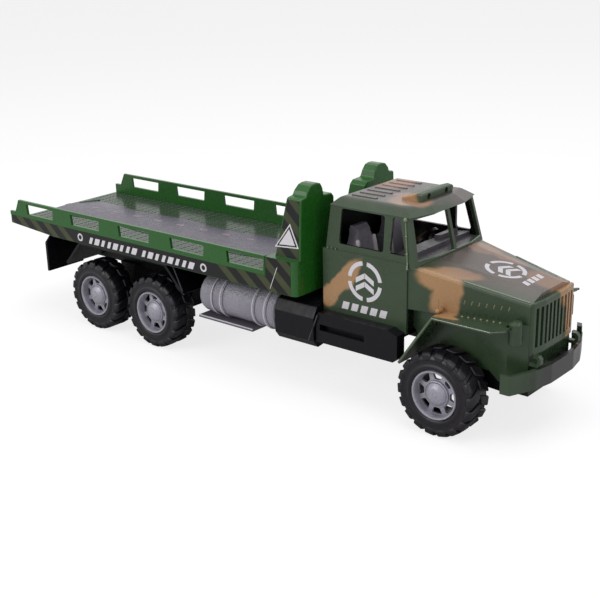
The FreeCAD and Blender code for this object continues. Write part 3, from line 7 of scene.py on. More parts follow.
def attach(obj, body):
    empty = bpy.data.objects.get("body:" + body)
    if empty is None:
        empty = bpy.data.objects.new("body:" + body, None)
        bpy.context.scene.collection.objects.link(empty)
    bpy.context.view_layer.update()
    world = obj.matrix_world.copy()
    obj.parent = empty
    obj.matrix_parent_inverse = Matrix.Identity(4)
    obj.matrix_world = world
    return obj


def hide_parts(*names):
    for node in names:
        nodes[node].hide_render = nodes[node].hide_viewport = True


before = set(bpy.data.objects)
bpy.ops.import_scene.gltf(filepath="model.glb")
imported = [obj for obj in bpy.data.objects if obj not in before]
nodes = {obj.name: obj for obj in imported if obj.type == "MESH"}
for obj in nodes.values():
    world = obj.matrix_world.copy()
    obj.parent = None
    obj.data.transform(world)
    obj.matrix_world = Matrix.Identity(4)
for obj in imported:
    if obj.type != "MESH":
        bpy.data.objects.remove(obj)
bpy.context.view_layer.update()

# Studio: a flat sheet of pale paper under a white surround, lit by one big soft
# panel overhead, a smaller one at the camera's left and a weak one by the nose.
scene = bpy.context.scene
scene.view_settings.view_transform = "Standard"
# As light on the truck, the floor and the surround are duller than they look.
floor_size, floor_tone, seen_floor_tone, seen_floor_glow = 6, 0.80, 0.33, 0.78
surround_light, surround_seen = 0.32, 1.0


def material(name):
    """An empty node material and its tree, ready for a shader."""
    made = bpy.data.materials.new(name)
    made.use_nodes = True
    made.node_tree.nodes.clear()
    return made, made.node_tree


def add(tree, kind, operation=None, **inputs):
    """One node. Its sockets are set or linked, by name or by number as _0."""
    node = tree.nodes.new("ShaderNode" + kind)
    if operation:
        node.operation = operation
    for key, value in inputs.items():
        numbered = key[0] == "_" and key[1:].isdigit()
        socket = node.inputs[int(key[1:])] if numbered else node.inputs[key.replace("_", " ")]
        if isinstance(value, bpy.types.NodeSocket):
            tree.links.new(value, socket)
        else:
            socket.default_value = value
    return node


floor_form = bmesh.new()
bmesh.ops.create_grid(floor_form, x_segments=1, y_segments=1, size=floor_size)
floor_mesh = bpy.data.meshes.new("floor")
floor_form.to_mesh(floor_mesh)
floor_form.free()
floor = bpy.data.objects.new("floor", floor_mesh)
scene.collection.objects.link(floor)
floor_paper, tree = material("floor_paper")
rays = add(tree, "LightPath")
paper = add(tree, "BsdfDiffuse", Color=(floor_tone,) * 3 + (1,))
faint = add(tree, "BsdfDiffuse", Color=(seen_floor_tone,) * 3 + (1,))
glow = add(tree, "Emission", Color=(1, 1, 1, 1), Strength=seen_floor_glow)
both = add(tree, "AddShader", _0=faint.outputs[0], _1=glow.outputs[0])
seen = add(tree, "MixShader", _0=rays.outputs["Is Camera Ray"], _1=paper.outputs[0],
           _2=both.outputs[0])
add(tree, "OutputMaterial", Surface=seen.outputs[0])
floor_mesh.materials.append(floor_paper)

surround = bpy.data.worlds.new("surround")
scene.world = surround
surround.use_nodes = True
tree = surround.node_tree
tree.nodes.clear()
rays = add(tree, "LightPath")
shown = add(tree, "Math", "MAXIMUM", _0=rays.outputs["Is Camera Ray"],
            _1=rays.outputs["Is Transmission Ray"])
shown = add(tree, "Math", "MAXIMUM", _0=shown.outputs[0], _1=rays.outputs["Is Glossy Ray"])
level = add(tree, "MapRange", Value=shown.outputs[0], To_Min=surround_light, To_Max=surround_seen)
sky = add(tree, "Background", Color=(1, 1, 1, 1), Strength=level.outputs[0])
add(tree, "OutputWorld", Surface=sky.outputs[0])


def soft_panel(name, place, aim, size, power):
    """A flat square-cornered lamp, in metres and watts, turned to its aim."""
    lamp = bpy.data.lights.new(name, "AREA")
    lamp.shape = "RECTANGLE"
    lamp.size, lamp.size_y = size
    lamp.energy = power
    made = bpy.data.objects.new(name, lamp)
    made.location = place
    made.rotation_euler = (Vector(aim) - Vector(place)).to_track_quat("-Z", "Y").to_euler()
    scene.collection.objects.link(made)


soft_panel("overhead_panel", place=(0.1, 0.1, 1.3), aim=(0, 0, 0.05), size=(1.4, 1.0), power=7.5)
soft_panel("left_panel", place=(-0.5, -1.2, 0.7), aim=(0, 0, 0.05), size=(0.9, 0.7), power=7)
soft_panel("nose_panel", place=(1.3, -0.3, 0.5), aim=(0.1, 0, 0.05), size=(0.7, 0.7), power=1.8)

# Camera: a low three-quarter view of the truck's right side and nose, with
# the long lens and slight tilt of the photograph.
picture_side, film_width = 600, 36
focal_pixels, centre_across, centre_down = 1101.2, 273.1, 309.21
camera_place, nearest = (0.48114, -0.54095, 0.28638), 0.01
yaw, pitch, roll = math.radians(41.64), math.radians(19.66), math.radians(-1.78)
ahead = Vector((-math.sin(yaw) * math.cos(pitch), math.cos(yaw) * math.cos(pitch), -math.sin(pitch)))
level_right = Vector((math.cos(yaw), math.sin(yaw), 0))
level_up = level_right.cross(ahead)
right = level_right * math.cos(roll) + level_up * math.sin(roll)
up = level_up * math.cos(roll) - level_right * math.sin(roll)
lens = bpy.data.cameras.new("camera")
lens.sensor_width = film_width
lens.lens = focal_pixels / picture_side * film_width
lens.shift_x = (picture_side / 2 - centre_across) / picture_side
lens.shift_y = (centre_down - picture_side / 2) / picture_side
lens.clip_start = nearest
camera = bpy.data.objects.new("camera", lens)
camera_turn = Matrix((right, up, -ahead)).transposed()
camera.matrix_world = Matrix.Translation(camera_place) @ camera_turn.to_4x4()
scene.collection.objects.link(camera)
scene.camera = camera

# Axles: three straight drawn steel pins, turning in the black frame's
# saddles and pressed into the rims at both ends.
axle_places = {"front": 167.0, "middle": -67.6, "rear": -129.0}


def paint(red, green, blue):
    """A colour as a paint chart gives it, 0 to 255, made linear."""
    def straight(part):
        part /= 255
        return part / 12.92 if part <= 0.04045 else ((part + 0.055) / 1.055) ** 2.4
    return straight(red), straight(green), straight(blue), 1.0


def dress(finish, *names):
    """Gives the named frame parts one finish."""
    for name in names:
        nodes[name].data.materials.clear()
        nodes[name].data.materials.append(finish)


steel, tree = material("drawn_steel")
place = add(tree, "TexCoord").outputs["Object"]
drawn = add(tree, "Mapping", Vector=place, Scale=(900, 12, 900))
streaks = add(tree, "TexNoise", Vector=drawn.outputs[0], Scale=1.0, Detail=3.0)
sheen = add(tree, "MapRange", Value=streaks.outputs[0], To_Min=0.22, To_Max=0.42)
bright = add(tree, "MixRGB", _0=streaks.outputs[0], _1=paint(150, 150, 154), _2=paint(186, 186, 190))
shader = add(tree, "BsdfPrincipled", Base_Color=bright.outputs[0], Roughness=sheen.outputs[0],
             Metallic=1.0)
add(tree, "OutputMaterial", Surface=shader.outputs[0])
dress(steel, *["axle_" + row for row in axle_places])

# Tyres: black plastic mouldings with low, closely set slanted lugs, staggered
# from side to side, that wrap over the shoulder. A raised bead grips the rim.
tyre_radius, wheel_half_track, tyre_steps, turn_cycle = 26.0, 43.0, 88, 31
lugs_round, lug_width, lug_sweep, lug_shift, lug_chamfer = 18, 6.3, 0.42, 1.8, 0.6
# Both outlines give places across the wheel, and radii.
tyre_outline = ((8.6, 15.0), (9.2, 15.4), (9.6, 16.1), (9.9, 16.9), (9.8, 17.8), (9.3, 18.5),
                (9.2, 19.6), (9.4, 21.0), (9.6, 22.0), (9.35, 22.4), (9.2, 23.1), (8.6, 23.8),
                (7.6, 24.3), (0, 24.5))
lug_outline = ((0.5, 24.0), (0.5, 25.9), (4.0, 25.98), (8.0, 25.85), (9.2, 25.2), (9.85, 23.9),
               (9.8, 21.6), (9.2, 21.0), (8.2, 23.6))


def at(x, y, z):
    """A place given in millimetres."""
    return Vector((x, y, z)) / 1000


def shades(colour, low, high):
    """A colour made darker and lighter by two shares."""
    dark, light = (tuple(share * part for part in colour[:3]) + (1,) for share in (low, high))
    return dark, light


def moulded(name, colour, rough=0.38, shine=0.35, grain=0.05, cloud=40.0, contrast=0.16):
    """Moulded plastic: clouded colour, uneven polish and a fine skin."""
    made, tree = material(name)
    place = add(tree, "TexCoord").outputs["Object"]
    clouds = add(tree, "TexNoise", Vector=place, Scale=cloud, Detail=5.0, Roughness=0.6)
    deep, light = shades(colour, 1 - contrast, 1 + contrast)
    tone = add(tree, "MixRGB", _0=clouds.outputs[0], _1=deep, _2=light)
    polish = add(tree, "TexNoise", Vector=place, Scale=260.0, Detail=3.0)
    smooth = add(tree, "MapRange", Value=polish.outputs[0], From_Min=0.3, From_Max=0.7,
                 To_Min=rough * 0.8, To_Max=rough * 1.25)
    skin = add(tree, "TexNoise", Vector=place, Scale=1800.0, Detail=2.0)
    bump = add(tree, "Bump", Height=skin.outputs[0], Strength=grain, Distance=0.0002)
    shader = add(tree, "BsdfPrincipled", Base_Color=tone.outputs[0], Roughness=smooth.outputs[0],
                 Specular_IOR_Level=shine, Normal=bump.outputs[0])
    add(tree, "OutputMaterial", Surface=shader.outputs[0])
    return made


def piece(name, form, body, finish, crease=35):
    """A finished piece from its bmesh, riding on a body of the truck."""
    bmesh.ops.remove_doubles(form, verts=form.verts, dist=1e-6)
    bmesh.ops.recalc_face_normals(form, faces=form.faces)
    mesh = bpy.data.meshes.new(name)
    form.to_mesh(mesh)
    form.free()
    mesh.shade_smooth()
    mesh.set_sharp_from_angle(angle=math.radians(crease))
    mesh.materials.append(finish)
    made = bpy.data.objects.new(name, mesh)
    scene.collection.objects.link(made)
    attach(made, body)
    return made


def outline_face(form, points):
    """One flat face through points given in millimetres."""
    return form.faces.new([form.verts.new(at(*point)) for point in points])


def only_verts(geom):
    """The vertices among what an operator returns."""
    return [item for item in geom if isinstance(item, bmesh.types.BMVert)]


def thicken(form, face, by):
    """Pulls a flat face out into a slab, by a millimetre vector."""
    grown = bmesh.ops.extrude_face_region(form, geom=[face], use_keep_orig=True)["geom"]
    bmesh.ops.translate(form, verts=only_verts(grown), vec=at(*by))


def chamfer(form, size):
    """Cuts all edges back by a size in millimetres."""
    bmesh.ops.bevel(form, geom=form.edges[:], offset=size / 1000, segments=1, profile=0.5,
                    material=-1, affect="EDGES")


def merged_copy(form, other):
    """Adds a finished bmesh to another one."""
    mesh = bpy.data.meshes.new("passing")
    other.to_mesh(mesh)
    form.from_mesh(mesh)
    bpy.data.meshes.remove(mesh)


rubber = moulded("tyre_plastic", paint(19, 14, 21), rough=0.36, shine=0.36, grain=0.12, cloud=90)
axis_y = Vector((0, 1, 0))
tyre_form = bmesh.new()
half = [tyre_form.verts.new(at(0, across, radius)) for across, radius in tyre_outline]
other = [tyre_form.verts.new(at(0, -across, radius)) for across, radius in reversed(tyre_outline[:-1])]
ring = half + other
section = [tyre_form.edges.new(pair) for pair in zip(ring, ring[1:] + ring[:1])]
bmesh.ops.spin(tyre_form, geom=ring + section, cent=(0, 0, 0), axis=axis_y,
               angle=2 * math.pi, steps=tyre_steps, use_merge=True)
for side in (1, -1):
    lug_form = bmesh.new()
    lug = outline_face(lug_form, [(-lug_width / 2, side * across, radius)
                                  for across, radius in lug_outline])
    thicken(lug_form, lug, (lug_width, 0, 0))
    # Each lug leans back from the middle and is bent round the tyre.
    for vert in lug_form.verts:
        sweep = vert.co.x + lug_sweep * abs(vert.co.y) - lug_shift / 1000
        turned = sweep / (tyre_radius / 1000)
        vert.co.x, vert.co.z = vert.co.z * math.sin(turned), vert.co.z * math.cos(turned)
    chamfer(lug_form, lug_chamfer)
    bmesh.ops.rotate(lug_form, verts=lug_form.verts, cent=(0, 0, 0),
                     matrix=Matrix.Rotation(math.pi / lugs_round * (side < 0), 3, "Y"))
    bmesh.ops.spin(lug_form, geom=lug_form.verts[:] + lug_form.edges[:] + lug_form.faces[:],
                   cent=(0, 0, 0), axis=axis_y, angle=2 * math.pi * (lugs_round - 1) / lugs_round,
                   steps=lugs_round - 1, use_duplicate=True)
    merged_copy(tyre_form, lug_form)
    lug_form.free()
tyre_mesh = bpy.data.meshes.new("tyre_pattern")
tyre_form.to_mesh(tyre_mesh)
tyre_form.free()
# The front pair stands at another turn than the two rear pairs.
for row, along in axle_places.items():
    for hand, side in (("right", -1), ("left", 1)):
        form = bmesh.new()
        form.from_mesh(tyre_mesh)
        bmesh.ops.rotate(form, verts=form.verts, cent=(0, 0, 0),
                         matrix=Matrix.Rotation(math.radians(along % turn_cycle), 3, "Y"))
        if side > 0:
            bmesh.ops.rotate(form, verts=form.verts, cent=(0, 0, 0),
                             matrix=Matrix.Rotation(math.pi, 3, "Z"))
        bmesh.ops.translate(form, verts=form.verts, vec=at(along, side * wheel_half_track, tyre_radius))
        tread = piece("tyre_%s_%s_tread" % (row, hand), form, row + "_wheels", rubber)
        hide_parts("tyre_%s_%s" % (row, hand))
bpy.data.meshes.remove(tyre_mesh)

# Rims: silver-coloured plastic mouldings with a flat lip, eight windows and a
# domed cap, pressed on the axle. Behind the windows the wheel is painted black as painted shade.
unlit_depth, lit_depth = 0.0464, 0.0468
silver, tree = material("silver_plastic")
place = add(tree, "TexCoord").outputs["Object"]
axes = add(tree, "SeparateXYZ", Vector=place)
depth = add(tree, "Math", "ABSOLUTE", _0=axes.outputs["Y"])
shade = add(tree, "MapRange", Value=depth.outputs[0], From_Min=unlit_depth, From_Max=lit_depth,
            To_Min=0.0, To_Max=1.0)
flakes = add(tree, "TexNoise", Vector=place, Scale=700.0, Detail=3.0)
flake_tone = add(tree, "MixRGB", _0=flakes.outputs[0], _1=paint(144, 142, 152), _2=paint(182, 180, 192))
rim_tone = add(tree, "MixRGB", _0=shade.outputs[0], _1=paint(6, 5, 8), _2=flake_tone.outputs[0])
rim_metal = add(tree, "Math", "MULTIPLY", _0=shade.outputs[0], _1=0.3)
rim_polish = add(tree, "MapRange", Value=flakes.outputs[0], To_Min=0.28, To_Max=0.46)
shader = add(tree, "BsdfPrincipled", Base_Color=rim_tone.outputs[0], Metallic=rim_metal.outputs[0],
             Roughness=rim_polish.outputs[0], Specular_IOR_Level=0.4)
add(tree, "OutputMaterial", Surface=shader.outputs[0])
dress(silver, *["rim_%s_%s" % (row, hand) for row in axle_places for hand in ("right", "left")])

# Frame and underside: the ladder frame, rear mudguards, plate panel, boxes,
# steps, cab floor and steering wheel are satin black plastic mouldings, clipped
# together. A grey bead on one edge of each mudguard and one by each step is a painted highlight.
mudguard_edge, mudguard_edge_round = ((-45.0, 50.2, 63.4), (-36.2, 50.2, 45.2)), 0.45
step_edge, step_edge_round = ((78.0, 46.9, 53.6), (71.2, 47.2, 36.2)), 0.5


def ball(form, centre, radius):
    """A small round head, in millimetres."""
    head = bmesh.ops.create_icosphere(form, subdivisions=2, radius=radius / 1000)["verts"]
    bmesh.ops.translate(form, verts=head, vec=at(*centre))


def bead(form, points, radius, sides=8):
    """A thin round bead along points in millimetres, closed at both ends."""
    for start, end in zip(points, points[1:]):
        first, last = at(*start), at(*end)
        rod = bmesh.ops.create_cone(form, cap_ends=True, segments=sides, radius1=radius / 1000,
                                    radius2=radius / 1000, depth=(last - first).length)["verts"]
        turn = (last - first).to_track_quat("Z", "Y").to_matrix()
        bmesh.ops.rotate(form, verts=rod, cent=(0, 0, 0), matrix=turn)
        bmesh.ops.translate(form, verts=rod, vec=(first + last) / 2)
    for point in points:
        ball(form, point, radius)


def on_side(points, side):
    """Points of the left side, kept for side 1 and mirrored to the right for -1."""
    return [(x, side * y, z) for x, y, z in points]


black = moulded("black_plastic", paint(13, 11, 17), rough=0.34, shine=0.2, grain=0.06)
dress(black, "chassis_frame", "rear_plate", "rear_mudguard_right", "rear_mudguard_left",
      "air_box_right", "air_box_left", "side_step_right", "side_step_left", "cab_floor",
      "steering_wheel")
# Grey beads on black edges: painted highlights.
grey_painted_highlight = moulded("black_plastic_painted_highlight", paint(58, 54, 62), rough=0.3, shine=0.5)
form = bmesh.new()
for side in (1, -1):
    bead(form, on_side(mudguard_edge, side), mudguard_edge_round)
    bead(form, on_side(step_edge, side), step_edge_round)
piece("black_edge_beads", form, "truck", grey_painted_highlight)

# Tanks and cradle: grey plastic drums with an embossed skin between bright
# double bands, resting on a grey shelf, hung from the frame. A bright bead along the shelf's edge is a
# painted highlight.
tank_middle, tank_height, hoop_radius, hoop_round, hoop_steps = 35.8, 47.0, 13.9, 0.55, 56
hoop_places = (-10.6, -2.7, 26.1, 36.0)
shelf_edge_highlight, shelf_edge_highlight_round = ((-23.8, 48.3, 32.9), (24.6, 48.3, 32.9)), 0.45


def hoop(form, centre, radius, thick):
    """A round hoop about a line along X, in millimetres."""
    start = bmesh.ops.create_circle(form, cap_ends=False, segments=8, radius=thick / 1000)["verts"]
    bmesh.ops.rotate(form, verts=start, cent=(0, 0, 0), matrix=Matrix.Rotation(math.pi / 2, 3, "X"))
    bmesh.ops.translate(form, verts=start, vec=at(*centre) + at(0, 0, radius))
    edges = list({edge for vert in start for edge in vert.link_edges})
    bmesh.ops.spin(form, geom=start + edges, cent=at(*centre), axis=(1, 0, 0), angle=2 * math.pi,
                   steps=hoop_steps, use_merge=True)


drum, tree = material("embossed_grey_plastic")
place = add(tree, "TexCoord").outputs["Object"]
clouds = add(tree, "TexNoise", Vector=place, Scale=60.0, Detail=4.0)
drum_tone = add(tree, "MixRGB", _0=clouds.outputs[0], _1=paint(122, 119, 129), _2=paint(162, 158, 170))
cells = add(tree, "TexVoronoi", Vector=place, Scale=620.0)
emboss = add(tree, "Bump", Height=cells.outputs["Distance"], Strength=0.55, Distance=0.0006)
drum_polish = add(tree, "MapRange", Value=cells.outputs["Distance"], To_Min=0.3, To_Max=0.5)
shader = add(tree, "BsdfPrincipled", Base_Color=drum_tone.outputs[0], Normal=emboss.outputs[0],
             Roughness=drum_polish.outputs[0], Specular_IOR_Level=0.45)
add(tree, "OutputMaterial", Surface=shader.outputs[0])
dress(drum, "fuel_tank_right", "fuel_tank_left")
grey = moulded("grey_plastic", paint(98, 95, 104), rough=0.4, shine=0.35)
dress(grey, "tank_cradle")
bright_grey = moulded("bright_grey_plastic", paint(206, 200, 211), rough=0.24, shine=0.5)
form = bmesh.new()
for side in (1, -1):
    for along in hoop_places:
        hoop(form, (along, side * tank_middle, tank_height), hoop_radius, hoop_round)
    # The bright bead along the shelf's edge: painted highlight.
    bead(form, on_side(shelf_edge_highlight, side), shelf_edge_highlight_round)
piece("tank_hoops", form, "truck", bright_grey)

# Platform: bright green glossy mouldings, the flatbed with a fence along each
# side and the tall headboard at its front.
green = moulded("green_plastic", paint(32, 92, 28), rough=0.26, shine=0.45, grain=0.03,
                contrast=0.10)
dress(green, "platform_deck", "side_rail_right", "side_rail_left", "headboard")

# Load floor: the green moulding's own tread, short raised bars in alternating
# slants, their tops painted paler as a painted highlight. Gloss lets the fences mirror in it.
plate_rear, plate_front, plate_half = -217.5, 42.3, 52.3
plate_foot, plate_face, plate_chamfer = 71.0, 71.25, 0.1
painted_highlight_from, painted_highlight_to = 0.07132, 0.0715
tick_pitch, ticks_along, ticks_across = 3.7, 70, 28
tick_rise, tick_sink, tick_half_size, tick_top_share = 0.25, 0.02, (1.65, 0.5, 1), (0.75, 0.5, 1)
first_tick_x, first_tick_y = plate_rear + 2.6, -plate_half + 2.4


def repeat(form, step, count):
    """Copies all of a bmesh count - 1 times, each a millimetre step further."""
    first = form.verts[:] + form.edges[:] + form.faces[:]
    for number in range(1, count):
        copied = bmesh.ops.duplicate(form, geom=first)["geom"]
        bmesh.ops.translate(form, verts=only_verts(copied), vec=at(*step) * number)


tread, tree = material("tread_plate")
place = add(tree, "TexCoord").outputs["Object"]
axes = add(tree, "SeparateXYZ", Vector=place)
smears = add(tree, "TexNoise", Vector=place, Scale=24.0, Detail=5.0, Distortion=0.6)
plate_tone = add(tree, "MixRGB", _0=smears.outputs[0], _1=paint(38, 62, 36), _2=paint(56, 72, 56))
# The bars' tops are painted paler: painted highlight.
tick_top_highlight = add(tree, "MapRange", Value=axes.outputs["Z"], From_Min=painted_highlight_from, From_Max=painted_highlight_to)
plate_tone = add(tree, "MixRGB", _0=tick_top_highlight.outputs[0], _1=plate_tone.outputs[0], _2=paint(68, 76, 72))
plate_polish = add(tree, "MapRange", Value=smears.outputs[0], From_Min=0.35, From_Max=0.65,
                   To_Min=0.17, To_Max=0.28)
waves = add(tree, "TexNoise", Vector=place, Scale=70.0, Detail=2.0)
waviness = add(tree, "Bump", Height=waves.outputs[0], Strength=0.2, Distance=0.001)
shader = add(tree, "BsdfPrincipled", Base_Color=plate_tone.outputs[0], Normal=waviness.outputs[0],
             Roughness=plate_polish.outputs[0], Specular_IOR_Level=0.24)
add(tree, "OutputMaterial", Surface=shader.outputs[0])
form = bmesh.new()
sheet = outline_face(form, [(plate_rear, -plate_half, plate_foot), (plate_front, -plate_half, plate_foot),
                            (plate_front, plate_half, plate_foot), (plate_rear, plate_half, plate_foot)])
thicken(form, sheet, (0, 0, plate_face - plate_foot))
chamfer(form, plate_chamfer)
tick_form = bmesh.new()
for slant, shift in ((45, 0.0), (-45, tick_pitch)):
    tick = bmesh.ops.create_circle(tick_form, cap_ends=True, segments=6, radius=0.001)["verts"]
    bmesh.ops.scale(tick_form, verts=tick, vec=tick_half_size)
    top = only_verts(bmesh.ops.extrude_face_region(tick_form, geom=tick[0].link_faces[:],
                                                   use_keep_orig=True)["geom"])
    bmesh.ops.scale(tick_form, verts=top, vec=tick_top_share)
    bmesh.ops.translate(tick_form, verts=top, vec=at(0, 0, tick_rise))
    whole = tick + top
    bmesh.ops.rotate(tick_form, verts=whole, cent=(0, 0, 0),
                     matrix=Matrix.Rotation(math.radians(slant), 3, "Z"))
    bmesh.ops.translate(tick_form, verts=whole,
                        vec=at(first_tick_x + shift, first_tick_y, plate_face - tick_sink))
repeat(tick_form, (2 * tick_pitch, 0, 0), ticks_along // 2)
repeat(tick_form, (0, tick_pitch, 0), ticks_across)
merged_copy(form, tick_form)
tick_form.free()
piece("tread_plate", form, "truck", tread, crease=20)

# Road strip: a smooth plum-grey film laid down the middle of the load floor
# and over its low rib, with wavy long edges and a row of raised dashes painted pale as painted glints.
# A short green ridge is moulded across the strip's left rear corner.
strip_half, strip_edge_face, strip_face, rib_cover = 19.6, 71.6, 72.02, 4.2
strip_rear, strip_front, strip_steps = -216.8, 41.8, 44
wave_length, wave_height, wave_start = 90.0, 2.2, 106
road_dashes, road_dash_size, road_dash_sink = 8, (4.4, 1.9, 0.22), 0.03
first_dash_x, dash_step_x, first_dash_y, dash_step_y = -188.0, 23.2, 4.8, 0.5
ridge, ridge_round = ((-213.6, 8.6, 71.8), (-207.0, 23.4, 71.8)), 0.75
plum = moulded("road_print", paint(80, 72, 91), rough=0.28, shine=0.34, grain=0.02, cloud=28,
               contrast=0.14)
form = bmesh.new()
strip_end = outline_face(form, [(strip_rear, y, z) for y, z in (
    (-strip_half, plate_face), (-strip_half, strip_edge_face), (-rib_cover, strip_face),
    (rib_cover, strip_face), (strip_half, strip_edge_face), (strip_half, plate_face))])
thicken(form, strip_end, (strip_front - strip_rear, 0, 0))
for number in range(1, strip_steps):
    cut = at(strip_rear + (strip_front - strip_rear) * number / strip_steps, 0, 0)
    bmesh.ops.bisect_plane(form, geom=form.verts[:] + form.edges[:] + form.faces[:], plane_co=cut,
                           plane_no=(1, 0, 0))
for vert in form.verts:
    if abs(vert.co.y) * 1000 > (strip_half + rib_cover) / 2:
        wave = math.cos(2 * math.pi * (vert.co.x * 1000 + wave_start) / wave_length)
        vert.co.y += math.copysign(wave_height / 1000, vert.co.y) * wave
piece("road_strip", form, "truck", plum, crease=12)
# Pale raised dashes: painted glints.
painted_glint = moulded("pale_painted_glint", paint(132, 112, 128), rough=0.35, shine=0.4, contrast=0.25)
form = bmesh.new()
for number in range(road_dashes):
    dash = bmesh.ops.create_uvsphere(form, u_segments=14, v_segments=8, radius=0.001)["verts"]
    bmesh.ops.scale(form, verts=dash, vec=road_dash_size)
    centre = (first_dash_x + dash_step_x * number, first_dash_y + dash_step_y * number,
              strip_face - road_dash_sink)
    bmesh.ops.translate(form, verts=dash, vec=at(*centre))
piece("road_dashes", form, "truck", painted_glint)
form = bmesh.new()
bead(form, ridge, ridge_round, sides=12)
piece("rear_ridge", form, "truck", green)

# Side stickers: printed film on both side boards and up the headboard's foot.
# Slanted olive bars on black at the ends, a plain black band between them.
board_face, film = 54.36, 0.12
board_outline = ((-219.2, 68.8), (-168.3, 65.4), (63.6, 65.4), (63.6, 87.2), (43.4, 87.2),
                 (43.4, 74.8), (-219.2, 74.8))


def striped(name, dark, olive, slope, pitch, plain_from, plain_to):
    """Printed film with slanting bars, and a plain dark stretch between."""
    bar_from, bar_to, blur, fade = 0.50, 0.96, 0.04, 0.0006
    made, tree = material(name)
    place = add(tree, "TexCoord").outputs["Object"]
    axes = add(tree, "SeparateXYZ", Vector=place)
    across = add(tree, "Math", "MULTIPLY", _0=axes.outputs["Z"], _1=slope)
    run = add(tree, "Math", "ADD", _0=axes.outputs["X"], _1=across.outputs[0])
    turns = add(tree, "Math", "DIVIDE", _0=run.outputs[0], _1=pitch)
    part = add(tree, "Math", "FRACT", _0=turns.outputs[0])
    bars = add(tree, "MapRange", Value=part.outputs[0], From_Min=bar_from, From_Max=bar_from + blur)
    close = add(tree, "MapRange", Value=part.outputs[0], From_Min=bar_to, From_Max=bar_to + blur,
                To_Min=1.0, To_Max=0.0)
    bars = add(tree, "Math", "MULTIPLY", _0=bars.outputs[0], _1=close.outputs[0])
    behind = add(tree, "MapRange", Value=run.outputs[0], From_Min=plain_from, From_Max=plain_from - fade)
    beyond = add(tree, "MapRange", Value=run.outputs[0], From_Min=plain_to, From_Max=plain_to + fade)
    ends = add(tree, "Math", "MAXIMUM", _0=behind.outputs[0], _1=beyond.outputs[0])
    mask = add(tree, "Math", "MULTIPLY", _0=bars.outputs[0], _1=ends.outputs[0])
    print_noise = add(tree, "TexNoise", Vector=place, Scale=90.0, Detail=5.0)
    deep, light = shades(olive, 0.75, 1.25)
    olive_tone = add(tree, "MixRGB", _0=print_noise.outputs[0], _1=deep, _2=light)
    tone = add(tree, "MixRGB", _0=mask.outputs[0], _1=dark, _2=olive_tone.outputs[0])
    gloss = add(tree, "MapRange", Value=print_noise.outputs[0], To_Min=0.24, To_Max=0.4)
    shader = add(tree, "BsdfPrincipled", Base_Color=tone.outputs[0], Roughness=gloss.outputs[0],
                 Specular_IOR_Level=0.35)
    add(tree, "OutputMaterial", Surface=shader.outputs[0])
    return made


bars_film = striped("striped_film", paint(10, 9, 13), paint(62, 70, 40), slope=1.2, pitch=0.0165,
                    plain_from=-0.058, plain_to=0.088)
for hand, side in (("right", -1), ("left", 1)):
    form = bmesh.new()
    board = outline_face(form, [(x, side * board_face, z) for x, z in board_outline])
    thicken(form, board, (0, side * film, 0))
    piece("board_film_" + hand, form, "truck", bars_film)

# Board print: white print on that film, a small ring at each end of a row of
# plain slanted dashes, and one thin light line across the front bars.
print_thick = 0.06
ring_places, ring_height, ring_outer, ring_inner = (-137.0, -11.5), 70.0, 2.9, 1.7
dash_groups, group_dashes, dash_pitch, dash_middle = (-125.0, -69.0), 8, 6.6, 69.4
dash_width, wide_dash_width, dash_height, dash_lean = 3.0, 4.9, 4.8, 0.45
line_x, line_z, line_size, line_lean = 49.8, 74.6, (0.45, 14.8), 0.42


def white_ring(form, middle, outer, inner, flat, thick, first=0.0, arc=360.0, steps=28):
    """A flat printed ring or arc. flat gives its two directions."""
    across, along = flat
    out = across.cross(along).normalized() * thick / 1000
    reach = across * math.cos(math.radians(first)) + along * math.sin(math.radians(first))
    corners = [middle + reach * radius / 1000 + lift for radius, lift in
               ((inner, Vector()), (outer, Vector()), (outer, out), (inner, out))]
    verts = [form.verts.new(corner) for corner in corners]
    edges = [form.edges.new(pair) for pair in zip(verts, verts[1:] + verts[:1])]
    whole = arc > 359
    geom = verts + edges if whole else [form.faces.new(verts)] + verts + edges
    bmesh.ops.spin(form, geom=geom, cent=middle, axis=out.normalized(), angle=math.radians(arc),
                   steps=steps, use_merge=whole)


def white_bar(form, middle, size, flat, thick, lean=0.0):
    """A flat printed bar, leaning over by a share of its height."""
    across, along = flat
    wide, high = size[0] / 2000, size[1] / 2000
    corners = ((-wide, -high), (wide, -high), (wide, high), (-wide, high))
    face = form.faces.new([form.verts.new(middle + across * (x + lean * y) + along * y)
                           for x, y in corners])
    thicken(form, face, across.cross(along).normalized() * thick)


def side_flat(side):
    """The two directions of a print on the truck's right (-1) or left (1) side."""
    return Vector((-side, 0, 0)), Vector((0, 0, 1))


white_film = moulded("white_print", paint(226, 222, 228), rough=0.4, shine=0.3, contrast=0.03)
for hand, side in (("right", -1), ("left", 1)):
    form = bmesh.new()
    flat = side_flat(side)
    face_y = side * (board_face + film)
    for x in ring_places:
        white_ring(form, at(x, face_y, ring_height), ring_outer, ring_inner, flat, print_thick)
    for group in dash_groups:
        for number in range(group_dashes):
            width = wide_dash_width if number % 3 == 1 else dash_width
            white_bar(form, at(group + dash_pitch * number, face_y, dash_middle), (width, dash_height),
                      flat, print_thick, lean=-dash_lean * side)
    white_bar(form, at(line_x, face_y, line_z), line_size, flat, print_thick, lean=-line_lean * side)
    piece("board_print_" + hand, form, "truck", white_film)

# Headboard stickers: striped film stuck on the outer side of each tower. On it
# is a plain white printed triangle with a dark line inside its edge.
tower_foot, tower_neck, tower_low, tower_high, tower_gap = 50.2, 48.0, 86.5, 125.5, 0.02
tower_outline = ((48.9, 88.2), (66.6, 88.2), (66.6, 124.2), (57.4, 124.2))
triangle = ((47.6, 93.6), (67.0, 95.2), (59.6, 109.8))
triangle_middle, triangle_thick = (58.1, 99.5), 0.06
